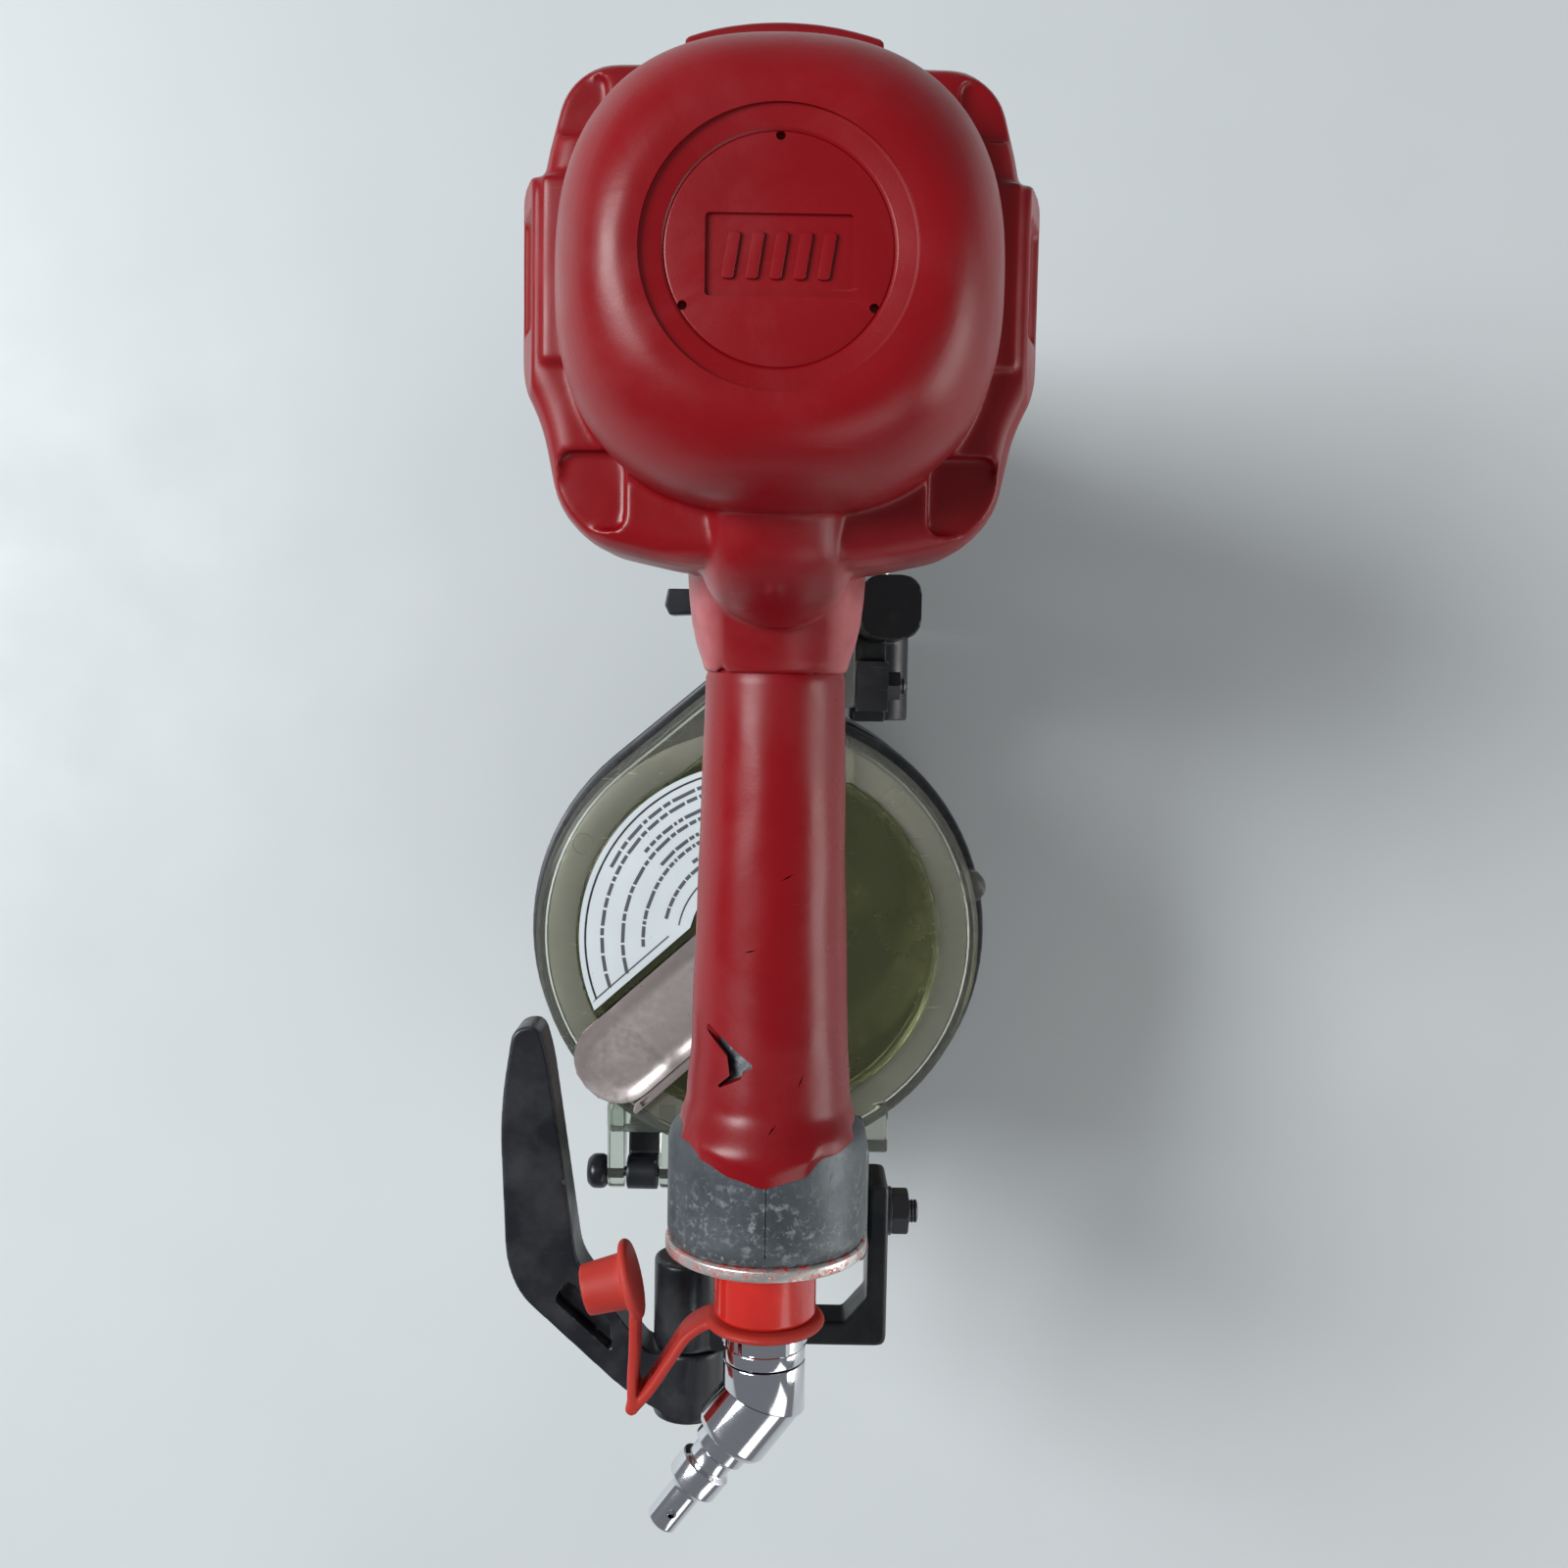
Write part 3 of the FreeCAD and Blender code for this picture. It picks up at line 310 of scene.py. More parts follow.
def moulded(meshes, voxel=0.7, smooth=4, keep=1.0, cutters=()):
    """Fuses closed meshes into one cast or moulded form whose edges are softly rounded."""
    pieces = [cut(mesh, *[c for c in cutters if touches(mesh, c)]) for mesh in meshes]
    size = voxel * COARSE
    steps = [("REMESH", {"mode": "VOXEL", "voxel_size": size, "adaptivity": 0.0})]
    if smooth:
        steps.append(("SMOOTH", {"factor": 0.5, "iterations": smooth}))
    if keep < 1:
        steps.append(("DECIMATE", {"ratio": keep}))
    return evaluated(joined(pieces), steps)


def cad_mesh(node):
    """Copy of a CAD node's mesh in the tool's frame, millimetres."""
    mesh = frame["nodes"][node].data.copy()
    mesh.transform(Matrix.Scale(1000, 4) @ UPRIGHT)
    bm = bmesh.new()
    bm.from_mesh(mesh)
    bmesh.ops.remove_doubles(bm, verts=bm.verts, dist=0.005)
    return to_mesh(bm)


# ---- materials ----
class Shader:
    """Short notation for a procedural material."""

    def __init__(self, name):
        self.material = bpy.data.materials.new(name)
        self.material.use_nodes = True
        self.tree = self.material.node_tree
        self.bsdf = self.tree.nodes["Principled BSDF"]
        coords = self.tree.nodes.new("ShaderNodeTexCoord")
        self.place = coords.outputs["Object"]

    def node(self, kind, inputs=None, **settings):
        made = self.tree.nodes.new(kind)
        for key, value in settings.items():
            setattr(made, key, value)
        for key, value in (inputs or {}).items():
            self.feed(made.inputs[key], value)
        return made

    def feed(self, socket, value):
        if isinstance(value, bpy.types.NodeSocket):
            self.tree.links.new(value, socket)
        else:
            socket.default_value = value

    def set(self, **values):
        for key, value in values.items():
            self.feed(self.bsdf.inputs[key.replace("_", " ")], value)

    def noise(self, scale, detail=4.0, rough=0.55, warp=0.0, stretch=None):
        place = self.place
        if stretch:
            place = self.node("ShaderNodeMapping", {"Vector": place, "Scale": stretch}).outputs[0]
        made = self.node("ShaderNodeTexNoise", {"Vector": place, "Scale": scale, "Detail": detail,
                                                "Roughness": rough, "Distortion": warp})
        return made.outputs["Fac"]

    def cells(self, scale, feature="F1"):
        made = self.node("ShaderNodeTexVoronoi", {"Vector": self.place, "Scale": scale}, feature=feature)
        return made.outputs["Distance"]

    def ramp(self, factor, low, high, a=0.0, b=1.0):
        """Maps factor from low..high onto a..b."""
        made = self.node("ShaderNodeMapRange", {"Value": factor, "From Min": low, "From Max": high,
                                                "To Min": a, "To Max": b})
        return made.outputs[0]

    def mix(self, factor, first, second):
        made = self.node("ShaderNodeMix", data_type="RGBA")
        self.feed(made.inputs[0], factor)
        self.feed(made.inputs[6], first)
        self.feed(made.inputs[7], second)
        return made.outputs[2]

    def math(self, operation, first, second=0.0):
        made = self.node("ShaderNodeMath", operation=operation)
        self.feed(made.inputs[0], first)
        self.feed(made.inputs[1], second)
        return made.outputs[0]

    def edge_wear(self, low=0.52, high=0.6):
        """High on worn convex edges."""
        point = self.node("ShaderNodeNewGeometry").outputs["Pointiness"]
        rough = self.math("MULTIPLY_ADD", self.noise(900, 3.0), 0.06)
        rough.node.inputs[2].default_value = -0.03
        return self.ramp(self.math("ADD", point, rough), low, high)

    def scratches(self, amount=0.5):
        """Thin random scratches, as a mask."""
        bent = self.node("ShaderNodeMapping", {"Vector": self.place, "Rotation": (0.5, 0.9, 0.3),
                                               "Scale": (1.0, 14.0, 1.0)}).outputs[0]
        fine = self.node("ShaderNodeTexNoise", {"Vector": bent, "Scale": 60.0, "Detail": 6.0,
                                                "Roughness": 0.7}).outputs["Fac"]
        return self.ramp(fine, 0.66, 0.72, 0.0, amount)

    def bump(self, height, strength=0.3, distance=0.0002, under=None):
        made = self.node("ShaderNodeBump", {"Height": height, "Strength": strength,
                                            "Distance": distance})
        if under:
            self.feed(made.inputs["Normal"], under)
        self.tree.links.new(made.outputs[0], self.bsdf.inputs["Normal"])
        return made.outputs[0]


def shade(colour, factor):
    """Colour made darker by a factor."""
    return tuple(c * factor for c in colour[:3]) + (1,)


def neck_flank_wear_and_reflection(s):
    """Mask of the paler rubber on both sides of the neck's crown: partly wear, partly a painted reflection of the
    pale table on these grazing flanks.
    """
    place = s.node("ShaderNodeSeparateXYZ", {"Vector": s.place})
    across = s.math("ABSOLUTE", place.outputs[0])
    wide = s.ramp(across, 0.0105, 0.0145)
    narrow = s.ramp(across, 0.021, 0.026, 1.0, 0.0)
    rear = s.ramp(place.outputs[1], -0.0655, -0.071)
    return s.math("MULTIPLY", s.math("MULTIPLY", wide, narrow), rear)


def rubber_material(name, colour, dusty, grain=2200.0, rough=0.4, pale=False):
    """Soft coloured rubber with handling shine, dust film, nicks and scuffs."""
    s = Shader(name)
    patches = s.noise(38, 5.0, 0.6, 0.4)
    film = s.ramp(patches, 0.48, 0.8, 0.0, 0.14)
    base = s.mix(s.ramp(s.noise(14, 3.0), 0.35, 0.7), colour, shade(colour, 0.72))
    base = s.mix(film, base, dusty)
    if pale:
        # Pale neck flanks: partly wear, partly a painted reflection of the pale table where the flanks graze.
        base = s.mix(s.math("MULTIPLY", neck_flank_wear_and_reflection(s), s.ramp(s.noise(160, 5.0), 0.3, 0.6, 0.5, 0.85)), base,
                     (0.50, 0.13, 0.14, 1))
    marks = s.scratches(0.22)
    base = s.mix(marks, base, dusty)
    specks = s.ramp(s.cells(420), 0.0, 0.09, 0.5, 0.0)
    base = s.mix(specks, base, shade(colour, 0.25))
    s.set(Base_Color=base, Roughness=s.math("ADD", s.ramp(patches, 0.3, 0.7, rough - 0.07, rough + 0.12),
                                            s.math("MULTIPLY", marks, 0.3)))
    s.set(Specular_IOR_Level=0.34)
    first = s.bump(s.noise(grain, 3.0), 0.12, 0.0001)
    s.bump(s.noise(70, 4.0, 0.5, 0.6), 0.25, 0.0004, first)
    return s.material


def plastic_material(name, colour, rough=0.42, scuff=(0.16, 0.17, 0.19, 1)):
    """Moulded black plastic with fine grain, scuffed edges and greasy patches."""
    s = Shader(name)
    wear = s.math("MAXIMUM", s.math("MULTIPLY", s.edge_wear(0.53, 0.62), 0.55), s.scratches(0.45))
    dust = s.ramp(s.noise(60, 5.0, 0.6), 0.5, 0.8, 0.0, 0.18)
    base = s.mix(wear, colour, scuff)
    s.set(Base_Color=s.mix(dust, base, (0.2, 0.2, 0.19, 1)),
          Roughness=s.ramp(s.noise(45, 4.0), 0.35, 0.7, rough - 0.1, rough + 0.15))
    s.bump(s.noise(1800, 2.0), 0.15, 0.0001)
    return s.material


def metal_material(name, colour, rough=0.25, dull=(0.3, 0.3, 0.3, 1), stretch=(1, 1, 14), grime=0.25, metal=1.0):
    """Machined or polished metal with brushing, smears and grime."""
    s = Shader(name)
    brushing = s.noise(500, 4.0, 0.6, stretch=stretch)
    stains = s.ramp(s.noise(55, 5.0, 0.6, 0.5), 0.48, 0.78, 0.0, grime)
    base = s.mix(s.ramp(brushing, 0.3, 0.7, 0.0, 0.25), colour, shade(colour, 0.75))
    s.set(Base_Color=s.mix(stains, base, dull), Metallic=metal,
          Roughness=s.math("ADD", s.ramp(brushing, 0.2, 0.8, rough * 0.7, rough * 1.4), stains))
    s.bump(brushing, 0.06, 0.0001)
    return s.material


def cast_material():
    """Bare grey casting with pale oxide blooms and pits."""
    s = Shader("cast_grey")
    blooms = s.ramp(s.noise(560, 8.0, 0.72, 0.3), 0.52, 0.64)
    spread = s.ramp(s.noise(42, 4.0), 0.40, 0.62)
    pits = s.ramp(s.cells(700), 0.0, 0.25, 1.0, 0.0)
    base = s.mix(s.ramp(s.noise(90, 6.0), 0.3, 0.7), (0.068, 0.078, 0.088, 1), (0.12, 0.135, 0.145, 1))
    base = s.mix(s.math("MULTIPLY", blooms, spread), base, (0.27, 0.29, 0.29, 1))
    base = s.mix(s.math("MULTIPLY", pits, 0.35), base, (0.03, 0.03, 0.03, 1))
    base = s.mix(s.math("MULTIPLY", s.edge_wear(), 0.8), base, (0.45, 0.46, 0.45, 1))
    s.set(Base_Color=base, Metallic=0.55, Roughness=s.ramp(blooms, 0.0, 1.0, 0.42, 0.75))
    s.bump(s.noise(320, 6.0, 0.65), 0.35, 0.0003)
    return s.material


def chipped_material():
    """Red paint chipped through to bright metal, mostly on the edges."""
    s = Shader("chipped_red")
    chips = s.ramp(s.noise(260, 5.0, 0.62, 0.6), 0.50, 0.53)
    edges = s.edge_wear(0.505, 0.53)
    bare = s.math("MAXIMUM", chips, edges)
    base = s.mix(bare, (0.50, 0.02, 0.015, 1), (0.62, 0.60, 0.57, 1))
    s.set(Base_Color=base, Metallic=s.math("MULTIPLY", bare, 0.9), Roughness=s.ramp(bare, 0, 1, 0.3, 0.38))
    s.bump(bare, 0.5, 0.0001).node.invert = True
    return s.material


def gloss_red_material():
    """Glossy red enamel with small nicks and smears."""
    s = Shader("gloss_red")
    nicks = s.ramp(s.noise(420, 5.0, 0.6, 0.5), 0.70, 0.73)
    base = s.mix(s.ramp(s.noise(60, 3.0), 0.3, 0.7), (0.62, 0.022, 0.012, 1), (0.48, 0.014, 0.010, 1))
    s.set(Base_Color=s.mix(nicks, base, (0.5, 0.45, 0.42, 1)),
          Roughness=s.ramp(s.noise(80, 4.0), 0.3, 0.7, 0.16, 0.34))
    s.set(Coat_Weight=0.6, Coat_Roughness=0.12)
    s.bump(s.noise(500, 3.0), 0.08, 0.0001)
    return s.material


def clear_material(name, tint, rough=0.12, haze=0.25):
    """Clear smoked plastic, yellowed and hazed with fine scuffs."""
    s = Shader(name)
    film = s.ramp(s.noise(40, 5.0, 0.6, 0.5), 0.4, 0.75, 0.0, haze)
    marks = s.scratches(0.5)
    s.set(Base_Color=s.mix(film, tint, shade(tint, 0.9)),
          Roughness=s.math("ADD", s.ramp(film, 0.0, haze, rough, rough + 0.2), s.math("MULTIPLY", marks, 0.4)))
    s.set(Transmission_Weight=0.94, IOR=1.22)
    s.bump(s.noise(90, 4.0, 0.5, 0.3), 0.08, 0.0003)
    return s.material


def label_material():
    """Printed white film, slightly yellowed, with dirt specks."""
    s = Shader("label_white")
    specks = s.ramp(s.cells(300), 0.0, 0.06, 0.9, 0.0)
    base = s.mix(s.ramp(s.noise(50, 4.0), 0.35, 0.75), (0.72, 0.78, 0.80, 1), (0.62, 0.68, 0.70, 1))
    s.set(Base_Color=s.mix(specks, base, (0.08, 0.07, 0.04, 1)),
          Roughness=s.ramp(s.noise(200, 3.0), 0.3, 0.7, 0.28, 0.45))
    s.bump(s.noise(150, 3.0), 0.08, 0.0001)
    return s.material


RED = rubber_material("red_rubber", (0.265, 0.0016, 0.0058, 1), (0.38, 0.07, 0.08, 1), rough=0.33, pale=True)
GRIP_RED = rubber_material("grip_rubber", (0.255, 0.0018, 0.006, 1), (0.34, 0.055, 0.06, 1), rough=0.30)
CAP_RED = rubber_material("strap_rubber", (0.50, 0.030, 0.020, 1), (0.55, 0.16, 0.13, 1), rough=0.5)
BLACK = plastic_material("black_plastic", (0.0055, 0.0065, 0.0105, 1), 0.36)
BLACK_METAL = plastic_material("black_paint", (0.010, 0.011, 0.013, 1), 0.36, (0.3, 0.3, 0.3, 1))
DARK_RUBBER = plastic_material("dark_rubber", (0.012, 0.012, 0.012, 1), 0.62)
CAST = cast_material()
CHIPPED = chipped_material()
GLOSS_RED = gloss_red_material()
CHROME = metal_material("chrome", (0.72, 0.72, 0.76, 1), 0.09, (0.35, 0.33, 0.3, 1), (1, 9, 1), 0.12)
STEEL = metal_material("steel", (0.50, 0.50, 0.51, 1), 0.32)
DARK_STEEL = metal_material("dark_steel", (0.10, 0.10, 0.11, 1), 0.4, (0.09, 0.06, 0.04, 1))
ALLOY = metal_material("alloy", (0.62, 0.62, 0.64, 1), 0.3)
BRASS = metal_material("brass_mesh", (0.55, 0.38, 0.16, 1), 0.35)
STAINLESS = metal_material("stainless", (0.56, 0.52, 0.48, 1), 0.26, (0.40, 0.33, 0.27, 1), (1, 1, 1), 0.3)
# Tongue steel: a paler, pinker copy of the stainless with less metal; its tone is the steel's own plus a painted
# reflection of the pink-grey ceiling.
TRAY_STEEL_AND_REFLECTION = metal_material("tray_steel_and_reflection", (0.60, 0.53, 0.51, 1), 0.32, (0.50, 0.36, 0.26, 1), (1, 1, 1), 0.12, 0.72)
BAND = metal_material("band_steel", (0.50, 0.48, 0.44, 1), 0.34, (0.36, 0.33, 0.27, 1), (1, 1, 1), 0.16)
CLEAR = clear_material("clear_smoked", (0.84, 0.85, 0.76, 1))
OLIVE = clear_material("clear_olive", (0.50, 0.53, 0.30, 1), 0.15, 0.35)
CLEAR_LUG = clear_material("clear_green", (0.66, 0.71, 0.64, 1), 0.08)
YELLOW = clear_material("yellow_tint", (0.34, 0.36, 0.12, 1), 0.3, 0.3)
WHITE = label_material()
INK = plastic_material("print_ink", (0.02, 0.022, 0.026, 1), 0.4)


# ---- head ----
def squircle(half_x, half_y, power, z, count=128):
    """Superellipse ring at height z."""
    ring = []
    for i in range(count):
        angle = 2 * math.pi * i / count
        c, s = math.cos(angle), math.sin(angle)
        scale = (abs(c) ** power + abs(s) ** power) ** (-1 / power)
        ring.append((half_x * c * scale, half_y * s * scale, z))
    return ring


RIM_R = 22.8                 # edge of the sunk ring in the dome's top
FLANGE_LOW = 202.0
FLANGE_TOP = 252.0


def dome_mesh():
    """Rounded square dome with its sunk top ring."""
    top = HEAD_TOP - 0.4
    half = 39.5
    shoulder = 27.0
    base = 2.5
    rings = [squircle(half, half, base, 214)]
    for i in range(17):
        t = i / 16 * math.pi / 2
        rise = math.sin(t)
        width = 24.6 + (half - 24.6) * math.cos(t)
        power = base - 0.45 * rise ** 3
        rings.append(squircle(width, width, power, top - shoulder + shoulder * rise))
    rings.append(squircle(20.0, 20.0, 2.0, top))
    return skin([[(x, y * 1.03 if y > 0 else y, z) for x, y, z in ring] for ring in rings])


def flange_outline(shrink):
    """Plan of the bolting flange: corner bosses, side bulges and waist, both sides."""
    half = [(19, 43.4), (34.5, 43.2), (40.6, 38.4), (43.6, 27), (44.4, 22.6), (49.4, 22.2), (49.4, -13), (44.6, -23),
            (41.4, -38.5), (34.6, -45.4), (18, -49)]
    radii = [2, 4, 4, 3, 1.2, 3, 4, 4, 5, 4, 4]
    plan = half + [(-x, y) for x, y in reversed(half)]
    points = [(x * (1 - shrink / 49.5), y * (1 - shrink / 48.0)) for x, y in plan]
    return rounded_outline(points, radii + radii[::-1], 4)


def flange_mesh():
    """Bolting flange: drawn in below, upright sides, rounded over at the top."""
    levels = [(0, 9), (4, 6), (9, 2.5), (12, 0.8), (15, 0.2), (36, 0), (43, 0.1), (46, 0.6), (48.4, 1.8),
              (49.6, 3.6), (50, 5.5)]
    return skin([[(x, y, FLANGE_LOW + z) for x, y in flange_outline(shrink)] for z, shrink in levels])


def oval(half_x, low, high, y, count=64, power=2.0):
    """Upright oval ring across the handle."""
    mid, half_z = (low + high) / 2, (high - low) / 2
    return [(x, y, mid + z) for x, z, _ in squircle(half_x, half_z, power, 0, count)]


def neck_mesh():
    rows = [(19.4, 168, 240, -30), (19.4, 170, 236, -40), (19.3, 172.5, 231, -47), (19.0, 174, 227, -53),
            (18.4, 176, 223.5, -58.5), (17.4, 177.6, 220.6, -63), (16.2, 178.6, 218.4, -66.5),
            (15.75, 178.8, 217.6, -68.5), (15.0, 179.4, 216.8, -68.9)]
    return skin([oval(w, a, b, y, power=2.15) for w, a, b, y in rows])


def crown_mesh():
    """Raised central dome on the neck with its end rounded down."""
    rows = []
    for i in range(20):
        t = i / 19
        y = -30 - 29.5 * t
        fall = max(0.0, (t - 0.5) / 0.5)
        width = 15.2 * math.sqrt(max(0.03, 1 - fall ** 2.3))
        rows.append(oval(width, 205, 262.0 - 9.5 * t - 21 * fall ** 2.3, y, power=2.9))
    return skin(rows)


def front_prism(points, y0, y1, bevel=0.0):
    """Block whose outline lies in the XZ plane."""
    mesh = prism(points, -y1, -y0, bevel)
    mesh.transform(Matrix(((1, 0, 0, 0), (0, 0, -1, 0), (0, 1, 0, 0), (0, 0, 0, 1))))
    return mesh


def lip_mesh():
    """Front lip: a slice of a large turned ring."""
    lip = lathe([(0, 40), (0, 57.0), (1.5, 58.4), (27, 58.4), (28.5, 57.4), (28.5, 40)], (0, -5.2, 215),
                around=180)
    return cut(lip, block(-90, 90, -90, 40, 200, 260), block(-90, -18.6, 0, 90, 200, 260),
               block(18.6, 90, 0, 90, 200, 260))


def flange_side_cutters(side):
    """Bolt pockets, sloped flank and flank recess of one side of the flange."""
    cutters = []
    for x, y, half_x, half_y in ((34.4, -35.2, 6.4, 7.3), (37.2, 34.6, 5.2, 5.6)):
        pocket = rounded_outline(rectangle(x - half_x, x + half_x, y - half_y, y + half_y), 3.2)
        pocket = [(side * px, py) for px, py in pocket]
        cutters.append(prism(pocket, FLANGE_TOP - 2.6, FLANGE_TOP + 6))
    low = Vector((50.9, 233.0))
    high = Vector((45.4, 252.5))
    along = (high - low).normalized()
    inward = Vector((-along.y, along.x))
    wedge = [low, high, Vector((60, 254)), Vector((60, 233))]
    recess = [low + along * 6.5 - inward * 2, low + along * 17.5 - inward * 2,
              low + along * 17.5 + inward * 1.2, low + along * 6.5 + inward * 1.2]
    for outline, y0, y1 in ((wedge, -40, 40), (recess, -5, 16)):
        cutters.append(front_prism([(side * p.x, p.y) for p in outline], y0, y1))
    return cutters


def head_cover():
    """Rubber boot over the cap: dome, flange with its bolt pockets and side ribs, neck and crown."""
    parts = [dome_mesh(), flange_mesh(), neck_mesh(), crown_mesh(), lip_mesh()]
    rib = [(38, 216), (44.4, 216), (44.4, 251.5), (43.4, 253.2), (38, 253.6)]
    cutters = []
    for side in (-1, 1):
        cutters += flange_side_cutters(side)
        parts.append(front_prism([(side * x, z) for x, z in rib], -12, 21.5, 0.8))
    for x, width in ((-11.3, 1.3), (8.1, 0.8)):
        cutters.append(prism([(x - width, -70), (x + width, -70), (x + 0.3, -66.6)], 206, 226))
    for z in (221, 228, 235):
        cutters.append(block(-13, 13, 50.3, 62, z, z + 3, 0.4))
    cutters.append(upright(35.15, 0, 0, 150, 226, 96))
    cutters.append(block(-13, 13, -72, -30, 150, 190.2))
    cutters.append(skin([oval(13.2, 181.6, 214.4, y) for y in (-50, -75)]))
    cutters.append(upright(18.75, 0, 0, HEAD_TOP - 5, HEAD_TOP + 3, 96))
    mesh = moulded(parts, 0.62, 5, cutters=cutters)
    mesh = cut(mesh, upright(RIM_R, 0, 0, HEAD_TOP - 6, HEAD_TOP + 3, 160, 0.01))
    for vertex in mesh.vertices:
        spot = vertex.co
        if abs(spot.x) < 3 and -56 < spot.y < -50 and spot.z > 230:
            spot.z += 0.7 * math.exp(-((spot.x ** 2 + (spot.y + 53) ** 2) / 1.6))
        spot += spot.normalized() * 0.12 * noise.noise(spot * 0.12)
    finish_piece("head_boot", mesh, "frame", RED, ["head_cover"], 60)
    top = HEAD_TOP
    groove = lathe([(-6, 18.7), (-6, RIM_R + 0.03), (-1.15, RIM_R + 0.03), (-1.3, RIM_R - 0.5), (-1.75, 19.2),
                    (-2.2, 18.7), (-6, 18.7)], (0, 0, top), around=192, rounding=0.12)
    finish_piece("head_groove", groove, "frame", RED, sharp=25)


def cap_disc():
    """Inset disc with pry notches and a sunk panel that holds a row of slanted ribs."""
    top = span("cap_disc")[1].z
    disc = lathe([(-4, 3), (-4, 18.72), (0, 18.72), (0, 3)], (0, 0, top), around=160, rounding=0.35)
    cutters = [prism(rounded_outline(rectangle(-12, 12, -7.4, 5.8), 0.8), top - 0.8, top + 2)]
    for x, y in circle(3, 18.0, first=90):
        cutters.append(upright(0.8, x, y, top - 2, top + 1, 12))
    disc = cut(disc, *cutters)
    bars = [disc]
    for i in range(5):
        x = -9.4 + 3.9 * i
        bar = rounded_outline([(x, -4.6), (x + 2.0, -4.6), (x + 3.2, 3.0), (x + 1.2, 3.0)], 0.7)
        bars.append(prism(bar, top - 1.0, top - 0.1, 0.25))
    finish_piece("cap_disc_look", joined(bars), "frame", RED, ["cap_disc"])


# ---- handle ----
GRIP_ROWS = [(-66, 15.3, 18.6), (-105, 16.2, 18.9), (-150, 17.6, 19.3), (-163, 18.4, 20.0), (-172.5, 21.0, 23.5)]
FLARE_Y = -172.5             # where the sleeve's flared end reaches its full size


def grip_size(y):
    """Half width and half height of the grip at y, smoothly between its rows."""
    for (y0, w0, h0), (y1, w1, h1) in zip(GRIP_ROWS, GRIP_ROWS[1:]):
        if y >= y1:
            t = (y0 - y) / (y0 - y1)
            t = smooth_step(t) if y1 < -160 else t
            return w0 + (w1 - w0) * t, h0 + (h1 - h0) * t
    return GRIP_ROWS[-1][1:]


TORN_EDGE = [(0, -170.6), (34, -170.8), (58, -172.5), (70, -176.2), (90, -178.2), (109, -176.6), (129, -173.8),
             (134, -171.8), (140, -170.8), (180, -170.6), (270, -171.0), (360, -170.6)]


def torn_edge(degrees):
    """Rear edge of the sleeve at an angle round the handle."""
    for (a0, y0), (a1, y1) in zip(TORN_EDGE, TORN_EDGE[1:]):
        if degrees <= a1:
            return y0 + (y1 - y0) * smooth_step((degrees - a0) / (a1 - a0))
    return TORN_EDGE[-1][1]


def grip_sleeve():
    """Rubber sleeve with its flared and torn rear edge and a torn flap near the rear."""
    count = 144
    outer, inner = [], []
    steps = 96
    for k in range(steps + 1):
        ring_out, ring_in = [], []
        for i in range(count):
            angle = 2 * math.pi * i / count
            rear = torn_edge(math.degrees(angle))
            rear += 0.5 * noise.noise(Vector((5 * math.cos(angle), 5 * math.sin(angle), 4.0)))
            y = SLEEVE_HIGH.y + (rear - SLEEVE_HIGH.y) * k / steps
            half_x, half_z = grip_size(max(y, FLARE_Y))
            onto_collar = clamp((math.sin(angle) - 0.3) / 0.25)
            half_x += (half_z - half_x) * onto_collar * clamp((-165 - y) / 6)
            wobble = 0.25 * noise.noise(Vector((0.05 * y, 2 * math.cos(angle), 2 * math.sin(angle))))
            edge = max(0.0, 1 - (steps - k) / 3) * 0.9 + max(0.0, 1 - k / 2) * 0.6
            for ring, inset in ((ring_out, edge - wobble), (ring_in, 2.4)):
                ring.append(((half_x - inset) * math.cos(angle), y,
                             HANDLE_Z + (half_z - inset) * math.sin(angle)))
        outer.append(ring_out)
        inner.append(ring_in)
    mesh = skin(outer + inner[::-1], closed=True)
    top = HANDLE_Z + 12
    tear = prism([(-14.0, -145.6), (-13.0, -145.0), (-8.0, -149.0), (-3.5, -152.4), (-3.3, -153.2), (-5.4, -154.4),
                  (-5.8, -155.6), (-10.4, -158.2), (-10.9, -157.8), (-8.3, -155.2), (-8.9, -151.2),
                  (-13.0, -147.0)], top, top + 20)
    mesh = cut(mesh, tear)
    for x, y, turn in ((3.4, -112, 0.5), (-4.2, -128, 0.3), (7.0, -156, 1.2), (1.0, -166, 0.9), (-12.5, -92, 1.3)):
        c, s = math.cos(turn), math.sin(turn)
        nick = [(x + a * c - b * s, y + a * s + b * c) for a, b in ((-1.6, 0), (0, -0.16), (1.6, 0), (0, 0.16))]
        mesh = cut(mesh, prism(nick, top + 5.2, top + 20))
    finish_piece("grip_sleeve_look", mesh, "frame", GRIP_RED, ["grip_sleeve"], 40)


